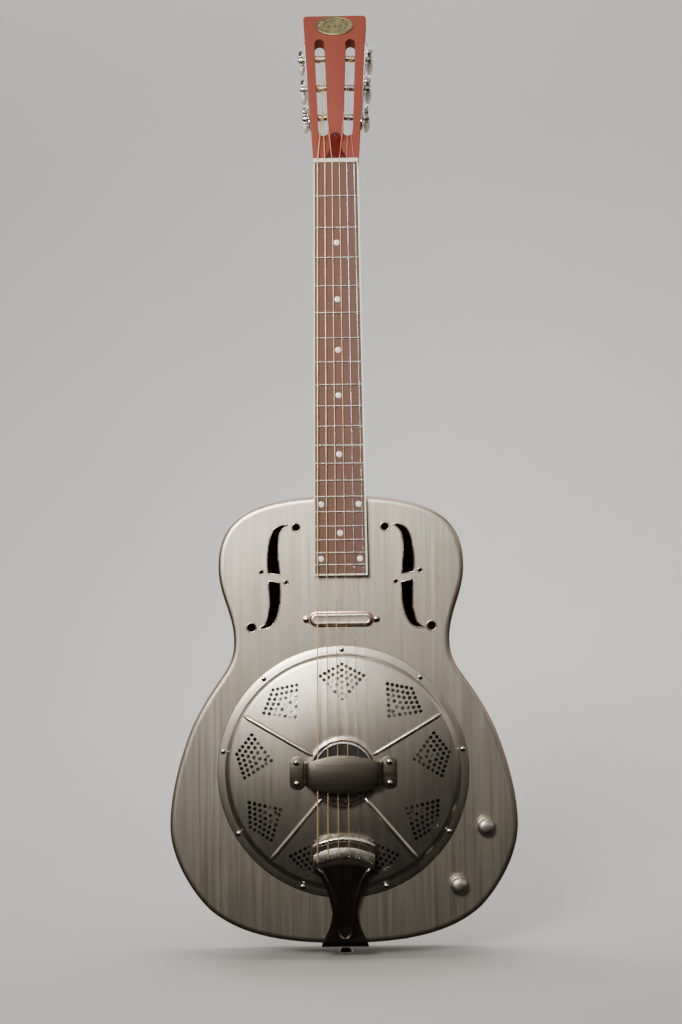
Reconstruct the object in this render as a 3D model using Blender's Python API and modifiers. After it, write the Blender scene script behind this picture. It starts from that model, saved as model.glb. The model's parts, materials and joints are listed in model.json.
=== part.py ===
"""Resonator guitar: metal body, single cone, slotted head.

Sizes are in millimetres and scaled to metres as each object is made.  Pieces hang on a few
nested empties: the body's front face, the neck, the head and the head's two sides.
The world frame is +Z towards the head, -Y towards the player's audience (the front),
+X to the viewer's right.  The origin is the neck's back, level with the nut.
"""

import math

import bmesh
import bpy
from mathutils import Euler, Matrix, Vector

MM = 0.001
CLEAR = 0.3  # gap left between neighbouring pieces

# ---- scale ------------------------------------------------------------------------
SCALE_LENGTH = 635.0
FRETS = 19
BOARD_THICK = 6.0
BOARD_END = 434.0
BODY_JOINT = 350.8  # distance of the body's upper edge below the nut
NECK_ANGLE = 2.0  # degrees
HEAD_ANGLE = 13.0

# ---- body -------------------------------------------------------------------------
BODY_TOP_Y = -24.8
BODY_DEPTH = 82.0
SHEET = 1.2
SKIRT = 6.0  # depth of the top plate's turned edge
TOP_HANDLE = 98.0
UPPER_BOUT, UPPER_V, UPPER_HANDLES = 128.3, 424.5, (49.7, 30.4)
WAIST, WAIST_V, WAIST_HANDLES = 112.7, 502.1, (30.3, 31.1)
FLANK, FLANK_V, FLANK_TURN, FLANK_HANDLES = 156.3, 588.4, 0.452, (56.2, 13.0)
LOWER_BOUT, LOWER_V, LOWER_HANDLES = 181.5, 693.8, (42.5, 39.2)
HIP, HIP_V, HIP_TURN, HIP_HANDLES = 138.8, 782.6, -0.88, (16.8, 37.0)
BOTTOM_V, BOTTOM_HANDLE = 816.8, 67.3
SPAN_STEPS = 7

# ---- cone and cover ---------------------------------------------------------------
CONE_V = 638.0
COVER_R, FLANGE_R, COVER_HOLE_R = 131.0, 122.2, 33.4
COVER_DOME = 13.0
WELL_R, WELL_DEPTH, WELL_LEDGE = 120.0, 30.0, 14.0
CONE_R, CONE_TOP_R, CONE_TOP = 118.6, 32.0, 7.4
BISCUIT_R, BISCUIT_THICK = 30.0, 6.2
SADDLE_LENGTH, SADDLE_THICK = 60.0, 3.2

# ---- strings ----------------------------------------------------------------------
STRING_R = (0.71, 0.56, 0.43, 0.33, 0.23, 0.205)  # sixth string first
NUT_SPREAD, BRIDGE_SPREAD, TAIL_SPREAD = 38.1, 52.0, 54.5
NUT_ABOVE = 1.4  # nut top above the fretboard
STRING_AT_BRIDGE = 24.2  # above the body top
TAIL_V, TAIL_H = 724.0, 20.3

# ---- head -------------------------------------------------------------------------
NUT_WIDTH, NUT_THICK = 47.5, 4.8
HEAD_DROP = 5.0  # head's face below the fretboard's surface, at the nut
HEAD_LENGTH, HEAD_TOP_W, HEAD_THICK, HEAD_CORNER = 170.5, 68.0, 18.0, 4.0
SLOT_LOW, SLOT_HIGH, SLOT_W = 30.4, 142.4, 10.4
SLOT_X_LOW, SLOT_X_HIGH = 13.0, 16.9
WORM_Z = (59.6, 94.6, 129.6)
GEAR_DROP = 7.3
POST_R, POST_Y = 3.2, 8.5
GEAR_R, GEAR_TEETH = 4.6, 14
WORM_X = 5.5  # worm axis out from the head's side
BUTTON_Y = 35.0

for leftover in list(bpy.data.objects):
    bpy.data.objects.remove(leftover)

FINISHES = {  # colour, roughness, metallic
    "nickel": ((0.62, 0.60, 0.53), 0.38, 1.0),
    "bright_nickel": ((0.74, 0.72, 0.68), 0.22, 1.0),
    "aluminium": ((0.78, 0.79, 0.80), 0.32, 1.0),
    "copper": ((0.62, 0.36, 0.25), 0.35, 1.0),
    "steel": ((0.52, 0.52, 0.53), 0.35, 1.0),
    "brass": ((0.62, 0.47, 0.24), 0.35, 1.0),
    "bronze_string": ((0.66, 0.46, 0.25), 0.35, 1.0),
    "steel_string": ((0.74, 0.74, 0.75), 0.25, 1.0),
    "red_mahogany": ((0.24, 0.035, 0.015), 0.22, 0.0),
    "rosewood": ((0.12, 0.05, 0.03), 0.5, 0.0),
    "maple": ((0.55, 0.37, 0.2), 0.45, 0.0),
    "cream": ((0.82, 0.76, 0.62), 0.3, 0.0),
}

GUITAR = bpy.data.collections.new("resonator_guitar")
CUTTERS = bpy.data.collections.new("cutters")

FACING_FRONT = (0, -1, 0)
FACING_DOWN = (0, 0, -1)
ACROSS = Euler((math.pi / 2, 0, 0))  # a flat outline stands in (x, z), its depth along y
ALONG = Euler((math.pi / 2, 0, math.pi / 2))  # a flat outline stands in (y, z)


# ---- frames -----------------------------------------------------------------------
BOARD_RISE = 9.5  # fretboard's surface above the body top, at the joint
NUT_Y = BODY_TOP_Y - BOARD_RISE + BODY_JOINT * math.tan(math.radians(NECK_ANGLE))
HEAD_HALF = NUT_WIDTH / 2 + 0.3
TAPER = math.atan2(HEAD_TOP_W / 2 - HEAD_HALF, HEAD_LENGTH)


class Frame:
    """An empty that pieces hang on, and its place in the world in millimetres."""

    def __init__(self, name, parent, location, rotation):
        self.empty = bpy.data.objects.new(name, None)
        self.empty.empty_display_size = 0.02
        self.empty.location = Vector(location) * MM
        self.empty.rotation_euler = rotation
        self.world = Matrix.Translation(location) @ Euler(rotation).to_matrix().to_4x4()
        if parent:
            self.empty.parent = parent.empty
            self.world = parent.world @ self.world

    def at(self, *point):
        return self.world @ Vector(point)


WORLD = Frame("guitar", None, (0, 0, 0), (0, 0, 0))
BODY = Frame("body_front", WORLD, (0, BODY_TOP_Y, 0), (0, 0, 0))
NECK = Frame("neck_axis", WORLD, (0, NUT_Y, 0), (math.radians(-NECK_ANGLE), 0, 0))
HEAD = Frame("head_face", NECK, (0, HEAD_DROP, NUT_THICK), (math.radians(-HEAD_ANGLE), 0, 0))
SIDES = {  # each side's frame, and the way out of the head along its x
    "left": (Frame("head_left", HEAD, (-HEAD_HALF, 0, 0), (0, -TAPER, 0)), -1),
    "right": (Frame("head_right", HEAD, (HEAD_HALF, 0, 0), (0, TAPER, 0)), 1),
}
FRAMES = [WORLD, BODY, NECK, HEAD, SIDES["left"][0], SIDES["right"][0]]


# ---- building blocks --------------------------------------------------------------
def finish_material(name):
    """The shared material of a finish, made on first use."""
    material = bpy.data.materials.get(name)
    if material:
        return material
    colour, roughness, metallic = FINISHES[name]
    material = bpy.data.materials.new(name)
    material.use_nodes = True
    shader = material.node_tree.nodes["Principled BSDF"]
    shader.inputs["Base Color"].default_value = (*colour, 1)
    shader.inputs["Roughness"].default_value = roughness
    shader.inputs["Metallic"].default_value = metallic
    return material


def put(name, data, frame, finish, location=(0, 0, 0), rotation=None):
    """Link an object on its frame; without a finish it is a cutter."""
    item = bpy.data.objects.new(name, data)
    item.parent = frame.empty
    item.location = Vector(location) * MM
    if rotation is not None:
        item.rotation_euler = rotation
    if finish:
        data.materials.append(finish_material(finish))
        GUITAR.objects.link(item)
    else:
        item.hide_render = True
        item.display_type = "WIRE"
        CUTTERS.objects.link(item)
    return item


def smooth(item, angle=35):
    item.data.shade_smooth()
    item.data.set_sharp_from_angle(angle=math.radians(angle))
    return item


def facing(direction):
    """The rotation that turns +Z to a direction."""
    return Vector((0, 0, 1)).rotation_difference(Vector(direction)).to_euler()


def loft(name, loops, frame, finish=None, origin=(0, 0, 0)):
    """Skin a row of loops with equal point counts and cap the two ends."""
    origin = Vector(origin)
    mesh = bmesh.new()
    rings = [[mesh.verts.new((Vector(p) - origin) * MM) for p in loop] for loop in loops]
    count = len(rings[0])
    for a, b in zip(rings, rings[1:]):
        for i in range(count):
            j = (i + 1) % count
            mesh.faces.new((a[i], a[j], b[j], b[i]))
    mesh.faces.new(rings[0])
    mesh.faces.new(rings[-1])
    bmesh.ops.recalc_face_normals(mesh, faces=mesh.faces)
    data = bpy.data.meshes.new(name)
    mesh.to_mesh(data)
    mesh.free()
    return smooth(put(name, data, frame, finish, origin))


def flat_shape(name, outline, low, high, rotation, frame, finish):
    """A filled flat curve with depth, made a mesh so that it can be cut or joined."""
    curve = bpy.data.curves.new(name, "CURVE")
    curve.dimensions = "2D"
    curve.fill_mode = "BOTH"
    curve.extrude = (high - low) / 2 * MM
    spline = curve.splines.new("POLY")
    spline.points.add(len(outline) - 1)
    for point, (a, b) in zip(spline.points, outline):
        point.co = (a * MM, b * MM, 0, 1)
    spline.use_cyclic_u = True
    drawn = bpy.data.objects.new(name, curve)
    data = bpy.data.meshes.new_from_object(drawn)
    bpy.data.objects.remove(drawn)
    bpy.data.curves.remove(curve)
    mesh = bmesh.new()
    mesh.from_mesh(data)
    bmesh.ops.remove_doubles(mesh, verts=mesh.verts, dist=1e-7)
    bmesh.ops.recalc_face_normals(mesh, faces=mesh.faces)
    mesh.to_mesh(data)
    mesh.free()
    data.name = name
    middle = (low + high) / 2
    location = (0, middle, 0) if rotation is ACROSS else (middle, 0, 0)
    return smooth(put(name, data, frame, finish, location, rotation))


def prism(name, outline, low, high, frame, finish=None):
    """An outline in (x, z) with its depth from low to high along y."""
    return flat_shape(name, outline, low, high, ACROSS, frame, finish)


def side_prism(name, outline, low, high, frame, finish=None):
    """An outline in (y, z) with its width from low to high along x."""
    return flat_shape(name, outline, low, high, ALONG, frame, finish)


def box(name, low, high, frame, finish=None):
    """A block between two corners."""
    low, high = Vector(low), Vector(high)
    mesh = bmesh.new()
    bmesh.ops.create_cube(mesh, size=1)
    bmesh.ops.scale(mesh, vec=(high - low) * MM, verts=mesh.verts)
    data = bpy.data.meshes.new(name)
    mesh.to_mesh(data)
    mesh.free()
    return put(name, data, frame, finish, (low + high) / 2)


def turned(name, profile, centre, axis, frame, finish=None, steps=32, ring=False):
    """Turn a profile of (radius, distance along axis) about the axis with a Screw."""
    closed = list(zip(profile, profile[1:] + profile[:1]))
    if sum(a[0] * b[1] - b[0] * a[1] for a, b in closed) > 0:
        profile = profile[::-1]
    edges = [(i, i + 1) for i in range(len(profile) - 1)]
    if ring:
        edges.append((len(profile) - 1, 0))
    data = bpy.data.meshes.new(name)
    data.from_pydata([(r * MM, 0, a * MM) for r, a in profile], edges, [])
    item = put(name, data, frame, finish, centre, facing(axis))
    screw = item.modifiers.new("turn", "SCREW")
    screw.axis = "Z"
    screw.steps = screw.render_steps = steps
    screw.use_merge_vertices = True
    screw.merge_threshold = 1e-6
    return item


def rod(name, start, end, radius, frame, finish=None, steps=24):
    """A cylinder between two points."""
    start, end = Vector(start), Vector(end)
    mesh = bmesh.new()
    bmesh.ops.create_cone(
        mesh,
        cap_ends=True,
        segments=steps,
        radius1=radius * MM,
        radius2=radius * MM,
        depth=(end - start).length * MM,
    )
    data = bpy.data.meshes.new(name)
    mesh.to_mesh(data)
    mesh.free()
    return smooth(put(name, data, frame, finish, (start + end) / 2, facing(end - start)))


def wire(name, points, radius, frame, finish):
    """A round wire along straight runs."""
    curve = bpy.data.curves.new(name, "CURVE")
    curve.dimensions = "3D"
    curve.bevel_depth = radius * MM
    curve.bevel_resolution = 2
    curve.use_fill_caps = True
    spline = curve.splines.new("POLY")
    spline.points.add(len(points) - 1)
    for point, place in zip(spline.points, points):
        point.co = (*(Vector(place) * MM), 1)
    return put(name, curve, frame, finish)


def mirror(item, frame):
    """Repeat a cutter on the other side of the frame's middle plane."""
    step = item.modifiers.new("mirror", "MIRROR")
    step.mirror_object = frame.empty
    step.use_mirror_merge = False
    return item


def combine(target, operation, others):
    for other in others:
        step = target.modifiers.new(other.name, "BOOLEAN")
        step.operation = operation
        step.solver = "EXACT"
        step.object = other
    return target


def cut(target, *others):
    return combine(target, "DIFFERENCE", others)


def add(target, *others):
    return combine(target, "UNION", others)


# ---- outlines ---------------------------------------------------------------------
def span(p0, p1, p2, p3, steps):
    """Points of one cubic span, without its last point."""
    points = []
    for i in range(steps):
        t = i / steps
        points.append(
            tuple(
                (1 - t) ** 3 * a + 3 * (1 - t) ** 2 * t * b + 3 * (1 - t) * t * t * c + t**3 * d
                for a, b, c, d in zip(p0, p1, p2, p3)
            )
        )
    return points


def body_outline(inset=0.0):
    """The body's outline in (x, z), clockwise from the top centre."""
    flank = (math.sin(FLANK_TURN), math.cos(FLANK_TURN))
    hip = (math.sin(HIP_TURN), math.cos(HIP_TURN))
    knots = [
        ((0, BODY_JOINT), None, (TOP_HANDLE, BODY_JOINT)),
        (
            (UPPER_BOUT, UPPER_V),
            (UPPER_BOUT, UPPER_V - UPPER_HANDLES[0]),
            (UPPER_BOUT, UPPER_V + UPPER_HANDLES[1]),
        ),
        (
            (WAIST, WAIST_V),
            (WAIST, WAIST_V - WAIST_HANDLES[0]),
            (WAIST, WAIST_V + WAIST_HANDLES[1]),
        ),
        (
            (FLANK, FLANK_V),
            (FLANK - flank[0] * FLANK_HANDLES[0], FLANK_V - flank[1] * FLANK_HANDLES[0]),
            (FLANK + flank[0] * FLANK_HANDLES[1], FLANK_V + flank[1] * FLANK_HANDLES[1]),
        ),
        (
            (LOWER_BOUT, LOWER_V),
            (LOWER_BOUT, LOWER_V - LOWER_HANDLES[0]),
            (LOWER_BOUT, LOWER_V + LOWER_HANDLES[1]),
        ),
        (
            (HIP, HIP_V),
            (HIP - hip[0] * HIP_HANDLES[0], HIP_V - hip[1] * HIP_HANDLES[0]),
            (HIP + hip[0] * HIP_HANDLES[1], HIP_V + hip[1] * HIP_HANDLES[1]),
        ),
        ((0, BOTTOM_V), (BOTTOM_HANDLE, BOTTOM_V), None),
    ]
    half = []
    for a, b in zip(knots, knots[1:]):
        half += span(a[0], a[2], b[1], b[0], SPAN_STEPS)
    half.append(knots[-1][0])
    points = half + [(-x, v) for x, v in reversed(half[1:-1])]
    points = [Vector((x, -v)) for x, v in points]
    if inset:
        count = len(points)
        moved = []
        for i, p in enumerate(points):
            along = (points[(i + 1) % count] - points[i - 1]).normalized()
            moved.append(p + Vector((-along.y, along.x)) * -inset)
        points = moved
    return [(p.x, p.y) for p in points]


def shell_loop(inset, depth):
    return [(x, depth, z) for x, z in body_outline(inset)]


def stadium(half_x, half_z, centre=(0, 0), steps=5):
    """A rounded bar outline, its length along the larger of the two half sizes."""
    radius = min(half_x, half_z)
    points = []
    for quarter, (sx, sz) in enumerate(((1, 1), (-1, 1), (-1, -1), (1, -1))):
        for i in range(steps + 1):
            turn = math.pi / 2 * (quarter + i / steps)
            points.append(
                (
                    centre[0] + sx * (half_x - radius) + radius * math.cos(turn),
                    centre[1] + sz * (half_z - radius) + radius * math.sin(turn),
                )
            )
    clean = []
    for p in points:
        if all(math.dist(p, q) > 1e-6 for q in clean):
            clean.append(p)
    return clean


def stroke(path):
    """A ribbon outline from (x, v, half width) points, as (x, z)."""
    left, right = [], []
    for i, (x, v, half) in enumerate(path):
        before, after = path[max(i - 1, 0)], path[min(i + 1, len(path) - 1)]
        dx, dv = after[0] - before[0], after[1] - before[1]
        length = math.hypot(dx, dv)
        left.append((x - dv / length * half, -(v + dx / length * half)))
        right.append((x + dv / length * half, -(v - dx / length * half)))
    return left + right[::-1]


# ---- body -------------------------------------------------------------------------
F_UPPER = (
    (-54.8, 381.4, 0.4),
    (-61.0, 383.0, 2.4),
    (-66.6, 387.9, 4.0),
    (-69.6, 397.0, 4.8),
    (-70.8, 408.0, 5.4),
    (-70.8, 420.0, 6.3),
    (-69.8, 432.0, 6.4),
)
F_LOWER = (
    (-69.5, 439.8, 6.3),
    (-69.3, 447.0, 6.4),
    (-69.1, 457.0, 5.9),
    (-70.0, 468.0, 5.3),
    (-72.8, 478.0, 4.8),
    (-77.5, 485.5, 3.2),
    (-86.6, 489.2, 0.4),
)
F_CIRCLES = (
    (-46.4, 383.5, 4.5),
    (-94.0, 487.4, 5.0),
    (-82.9, 429.7, 2.5),
    (-57.3, 440.8, 2.5),
)
PICKUP_V, PICKUP_HALF, PICKUP_WIDE, PICKUP_SCREW = 479.6, 32.7, 7.1, 36.4
KNOBS = {"volume": (147.0, 696.0), "tone": (118.5, 756.0)}
KNOB_R, KNOB_LOW, KNOB_HIGH = 9.0, 1.6, 14.0
SHAFT_R = 3.0
JACK_X, JACK_H, JACK_R = 62.0, -41.0, 4.6
END_H = -41.0


def build_body():
    back = loft(
        "body_back_and_sides",
        [
            shell_loop(0, SKIRT + CLEAR),
            shell_loop(0, BODY_DEPTH - 4.0),
            shell_loop(1.2, BODY_DEPTH - 1.2),
            shell_loop(4.0, BODY_DEPTH),
        ],
        BODY,
        "nickel",
    )
    hollow = loft(
        "body_hollow",
        [
            shell_loop(SHEET, SKIRT - 2),
            shell_loop(SHEET, BODY_DEPTH - 4.5),
            shell_loop(SHEET + 1.2, BODY_DEPTH - 2.2),
            shell_loop(SHEET + 4.0, BODY_DEPTH - SHEET),
        ],
        BODY,
    )
    cut(back, hollow)
    cut(back, end_hole("end_hole", 0, END_H, 4.3))
    cut(back, end_hole("jack_hole", JACK_X, JACK_H, JACK_R + 0.2))

    top = loft(
        "body_top",
        [
            shell_loop(4.4, SHEET),
            shell_loop(2.0, SHEET + 1.0),
            shell_loop(SHEET, SHEET + 3.2),
            shell_loop(SHEET, SKIRT),
            shell_loop(0, SKIRT),
            shell_loop(0, 3.6),
            shell_loop(0.9, 1.0),
            shell_loop(3.6, 0),
        ],
        BODY,
        "nickel",
    )
    cut(top, top_hole("cone_opening", 0, CONE_V, WELL_R, 56))
    for name, path in (("upper", F_UPPER), ("lower", F_LOWER)):
        cut(top, mirror(prism(f"f_{name}", stroke(path), -3, 4, BODY), BODY))
    for i, (x, v, r) in enumerate(F_CIRCLES):
        cut(top, mirror(top_hole(f"f_dot_{i}", x, v, r, 12), BODY))
    slot = stadium(PICKUP_HALF - 4, PICKUP_WIDE - 2, (0, -PICKUP_V))
    cut(top, prism("pickup_slot", slot, -3, 4, BODY))
    cut(top, mirror(top_hole("pickup_pilots", PICKUP_SCREW, PICKUP_V, 1.4, 10), BODY))
    for name, (x, v) in KNOBS.items():
        cut(top, top_hole(f"{name}_hole", x, v, SHAFT_R + 0.4, 16))

    ring = [
        (WELL_R - 0.4, SHEET + CLEAR),
        (WELL_R + 1.0, SHEET + CLEAR),
        (WELL_R + 1.0, WELL_DEPTH),
        (WELL_R - WELL_LEDGE, WELL_DEPTH),
        (WELL_R - WELL_LEDGE, WELL_DEPTH - 1.4),
        (WELL_R - 0.4, WELL_DEPTH - 1.4),
    ]
    turned("soundwell_ring", ring, (0, 0, -CONE_V), (0, 1, 0), BODY, "nickel", 48, ring=True)
    stick = box("neck_stick", (-19, 34, -BOTTOM_V + 4), (19, 60, -BODY_JOINT - 3), BODY, "maple")
    cut(stick, end_hole("stick_pilot", 0, END_H, 4.3, 15))


def top_hole(name, x, v, radius, steps):
    """A round cutter through the body's front."""
    return rod(name, (x, -3, -v), (x, 4, -v), radius, BODY, steps=steps)


def end_hole(name, x, h, radius, depth=12):
    """A round cutter up through the body's lower end."""
    return rod(name, (x, -h, -BOTTOM_V - 8), (x, -h, -BOTTOM_V + depth), radius, BODY, steps=20)


# ---- cone, saddle and cover -------------------------------------------------------
def dome(radius):
    """Height of the cover's outer face at a radius from its centre."""
    reach = min(max((FLANGE_R - 2.5 - radius) / (FLANGE_R - 2.5 - COVER_HOLE_R), 0), 1)
    return 5.2 + (COVER_DOME - 5.2) * (1 - (1 - reach) ** 1.6)


def build_cone():
    rim = -(WELL_DEPTH - 1.4 - CLEAR)
    skin = 0.8
    outer = [(CONE_R, rim + skin), (CONE_R - 6, rim + skin)]
    inner = [(CONE_R, rim), (CONE_R - 5.4, rim)]
    for share in (0.15, 0.5, 1.0):
        radius = CONE_R - 7 + (CONE_TOP_R - CONE_R + 7) * share
        height = rim + (CONE_TOP - rim) * share**0.8
        outer.append((radius, height))
        inner.append((radius + 0.4, height - skin))
    outer += [(CONE_TOP_R - 4, CONE_TOP), (0, CONE_TOP)]
    inner += [(CONE_TOP_R - 4, CONE_TOP - skin), (0, CONE_TOP - skin)]
    centre = (0, 0, -CONE_V)
    turned("resonator_cone", outer[::-1] + inner, centre, FACING_FRONT, BODY, "aluminium", 40)
    low = CONE_TOP + CLEAR
    top = low + BISCUIT_THICK
    disc = [(0, low), (BISCUIT_R, low), (BISCUIT_R, top - 1), (BISCUIT_R - 1, top), (0, top)]
    turned("biscuit", disc, centre, FACING_FRONT, BODY, "maple", 28)
    half, thick = SADDLE_LENGTH / 2, SADDLE_THICK / 2
    crest = STRING_AT_BRIDGE - STRING_R[0] - 0.4
    outline = [
        (-half, -(top + CLEAR)),
        (half, -(top + CLEAR)),
        (half - 3, -crest + 2.2),
        (half - 6, -crest),
        (-half + 6, -crest),
        (-half + 3, -crest + 2.2),
    ]
    low_z, high_z = -CONE_V - thick, -CONE_V + thick
    loft(
        "saddle",
        [[(x, y, z) for x, y in outline] for z in (low_z, high_z)],
        BODY,
        "maple",
    )


def build_cover():
    lip = COVER_HOLE_R
    outer = [(COVER_R, CLEAR), (COVER_R, 1.1), (COVER_R - 0.8, 1.6), (FLANGE_R, 1.6)]
    inner = [(FLANGE_R + 0.6, CLEAR)]
    outer.append((FLANGE_R - 2.5, dome(FLANGE_R - 2.5)))
    inner.append((FLANGE_R - 2.4, dome(FLANGE_R - 2.5) - 1.3))
    for radius in (98.0, 72.0, 46.0):
        outer.append((radius, dome(radius)))
        inner.append((radius, dome(radius) - SHEET))
    outer += [(lip + 1.6, COVER_DOME + 0.9), (lip, COVER_DOME + 0.4)]
    inner += [(lip + 1.0, COVER_DOME - SHEET)]
    cover = turned(
        "coverplate",
        outer + inner[::-1],
        (0, 0, -CONE_V),
        FACING_FRONT,
        BODY,
        "bright_nickel",
        56,
        ring=True,
    )
    for side in (-1, 1):
        pad = stadium(7.2, 16.7, (side * 48.1, -CONE_V), 6)
        add(cover, prism(f"pad_{side}", pad, -COVER_DOME, -dome(48) + 0.7, BODY))
        for k, z in enumerate((-10.8, 10.8)):
            x = side * 48.1
            start, end = (x, -20, -CONE_V + z), (x, -5, -CONE_V + z)
            cut(cover, rod(f"pad_hole_{side}_{k}", start, end, 1.5, BODY, steps=10))

    path = [
        (-55.3, 13.3, 16.7),
        (-41.8, 13.3, 16.7),
        (-39.6, 14.6, 12.4),
        (-38.6, 19.0, 11.8),
        (-37.6, 26.0, 11.8),
        (-34.5, 29.6, 12.9),
        (-24.0, 30.6, 16.2),
        (0.0, 31.0, 19.7),
    ]
    path += [(-x, h, w) for x, h, w in reversed(path[:-1])]
    loops = []
    for i, (x, h, w) in enumerate(path):
        before, after = path[max(i - 1, 0)], path[min(i + 1, len(path) - 1)]
        along = Vector((after[0] - before[0], after[1] - before[1])).normalized()
        up = Vector((-along.y, along.x)) * 1.4
        low, high = (x, -h), (x + up.x, -(h + up.y))
        loops.append(
            [
                (low[0], low[1], -CONE_V - w),
                (low[0], low[1], -CONE_V + w),
                (high[0], high[1], -CONE_V + w),
                (high[0], high[1], -CONE_V - w),
            ]
        )
    rest = loft("handrest", loops, BODY, "bright_nickel")
    number = 0
    for side in (-1, 1):
        for z in (-10.8, 10.8):
            number += 1
            x, v = side * 48.1, CONE_V - z
            start, end = (x, -20, -v), (x, -5, -v)
            cut(rest, rod(f"rest_hole_{number}", start, end, 1.5, BODY, steps=10))
            screw(f"handrest_screw_{number}", (x, -(13.3 + 1.4 + CLEAR), -v), 3.1, 1.2, 7.0)


def screw(name, seat, head_r, shank_r, length):
    """A domed screw facing the front, its head resting at seat."""
    profile = [
        (0, -length),
        (shank_r, -length),
        (shank_r, 0),
        (head_r, 0),
        (head_r * 0.86, head_r * 0.34),
        (head_r * 0.45, head_r * 0.58),
        (0, head_r * 0.64),
    ]
    return turned(name, profile, seat, FACING_FRONT, BODY, "bright_nickel", 12)


# ---- pickup and controls ----------------------------------------------------------
def build_pickup():
    base = prism(
        "pickup_base",
        stadium(PICKUP_SCREW + 4.4, PICKUP_WIDE + 0.9, (0, -PICKUP_V)),
        -1.3,
        -CLEAR,
        BODY,
        "copper",
    )
    well = stadium(PICKUP_HALF - 4.5, PICKUP_WIDE - 2.5, (0, -PICKUP_V))
    add(base, prism("pickup_coils", well, -1.0, 9.0, BODY))
    for side in (-1, 1):
        x = side * PICKUP_SCREW
        seat = (x, -(1.3 + CLEAR), -PICKUP_V)
        cut(base, top_hole(f"pickup_eye_{side}", x, PICKUP_V, 1.4, 10))
        screw(f"pickup_screw_{1 if side < 0 else 2}", seat, 3.0, 1.1, 6.0)
    loops = []
    for inset, height in ((0, 1.3 + CLEAR), (0, 3.4), (1.6, 5.2), (2.6, 5.6)):
        outline = stadium(PICKUP_HALF - inset, PICKUP_WIDE - inset, (0, -PICKUP_V), 6)
        loops.append([(x, -height, z) for x, z in outline])
    loft("pickup_cover", loops, BODY, "nickel")


def build_controls():
    for name, (x, v) in KNOBS.items():
        centre = (x, 0, -v)
        bore = SHAFT_R + 0.15
        knob = [
            (bore, KNOB_LOW),
            (KNOB_R, KNOB_LOW),
            (KNOB_R, 9.4),
            (KNOB_R - 0.5, 11.4),
            (KNOB_R - 2.6, 13.3),
            (0, KNOB_HIGH),
            (0, 10.2),
            (bore, 10.2),
        ]
        turned(f"{name}_knob", knob, centre, FACING_FRONT, BODY, "bright_nickel", 24, ring=True)
        rod(f"{name}_shaft", (x, 15.5, -v), (x, -9.8, -v), SHAFT_R, BODY, "brass", 20)
        can = [
            (SHAFT_R + 0.3, -1.8),
            (12.0, -1.8),
            (12.0, -12.0),
            (SHAFT_R + 0.3, -12.0),
        ]
        turned(f"{name}_pot", can, centre, FACING_FRONT, BODY, "steel", 20, ring=True)
    jack = [
        (JACK_R, -16.0),
        (JACK_R, 2.4),
        (9.5, 2.4),
        (9.5, 3.8),
        (6.4, 5.4),
        (3.3, 5.4),
        (3.3, -16.0),
    ]
    seat = (JACK_X, -JACK_H, -jack_edge())
    turned("output_jack", jack, seat, FACING_DOWN, BODY, "bright_nickel", 20, ring=True)


def jack_edge():
    """How far down the body's edge lies at the jack."""
    points = [p for p in body_outline() if p[1] < -700 and p[0] >= 0]
    below = min(points, key=lambda p: abs(p[0] - JACK_X))
    return -below[1]


# ---- tailpiece --------------------------------------------------------------------
def build_tailpiece():
    path = [
        (702.0, 16.6, 27.0),
        (704.5, 16.6, 31.5),
        (709.0, 16.6, 33.0),
        (729.0, 16.2, 32.0),
        (735.0, 15.4, 28.2),
        (752.0, 12.2, 20.6),
        (770.0, 8.8, 15.0),
        (782.0, 6.6, 13.0),
        (798.0, 3.6, 15.8),
        (810.0, 2.0, 21.5),
        (816.6, 1.0, 24.0),
        (819.0, -2.0, 24.6),
        (819.4, -12.0, 22.0),
        (819.4, -30.0, 16.0),
        (819.4, -48.0, 12.0),
        (819.4, -53.0, 7.0),
    ]
    loops = []
    for i, (v, h, w) in enumerate(path):
        before, after = path[max(i - 1, 0)], path[min(i + 1, len(path) - 1)]
        along = Vector((after[0] - before[0], after[1] - before[1])).normalized()
        out = Vector((-along.y, along.x)) * 1.5
        low, high = (v, h), (v + out.x, h + out.y)
        loops.append(
            [
                (-w, -low[1], -low[0]),
                (w, -low[1], -low[0]),
                (w, -high[1], -high[0]),
                (-w, -high[1], -high[0]),
            ]
        )
    plate = loft("tailpiece_plate", loops, BODY, "bright_nickel")
    cut(plate, end_hole("strap_eye", 0, END_H, 4.3, 1))
    bar = box(
        "tailpiece_string_bar",
        (-31.0, -(TAIL_H + 2.2), -TAIL_V - 3.0),
        (31.0, -(16.7 + 1.5 + CLEAR), -TAIL_V + 6.0),
        BODY,
        "bright_nickel",
    )
    for i in range(6):
        x = string_x(i, TAIL_SPREAD)
        slot = box(
            f"bar_slot_{i}",
            (x - 1.6, -(TAIL_H + 4), -TAIL_V - 1.2),
            (x + 1.6, -(TAIL_H - 1.3), -TAIL_V + 8),
            BODY,
        )
        cut(bar, slot)
    button = [
        (0, -14.0),
        (4.0, -14.0),
        (4.0, 4.3 + CLEAR),
        (8.2, 4.3 + CLEAR),
        (8.2, 6.2),
        (5.0, 8.6),
        (5.0, 11.5),
        (7.6, 13.8),
        (7.6, 15.8),
        (5.5, 17.0),
        (0, 17.0),
    ]
    turned("end_button", button, (0, -END_H, -BOTTOM_V), FACING_DOWN, BODY, "bright_nickel", 20)


# ---- neck -------------------------------------------------------------------------
def board_half(along):
    """Half the fretboard's width at a distance below the nut."""
    return NUT_WIDTH / 2 + (28.0 - NUT_WIDTH / 2) * along / BOARD_END


def neck_loop(along, depth, half, lean=0.0):
    """One D-shaped section, its flat side under the fretboard."""
    face = BOARD_THICK + CLEAR
    points = [(-half, face), (half, face), (half, face + 2.0)]
    for i in range(1, 9):
        turn = math.pi * i / 9
        bulge = abs(math.sin(turn)) ** 0.8
        points.append((half * math.cos(turn), face + 2.0 + (depth - 2.0) * bulge))
    points.append((-half, face + 2.0))
    return [(x, y, -along + lean * y) for x, y in points]


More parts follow.
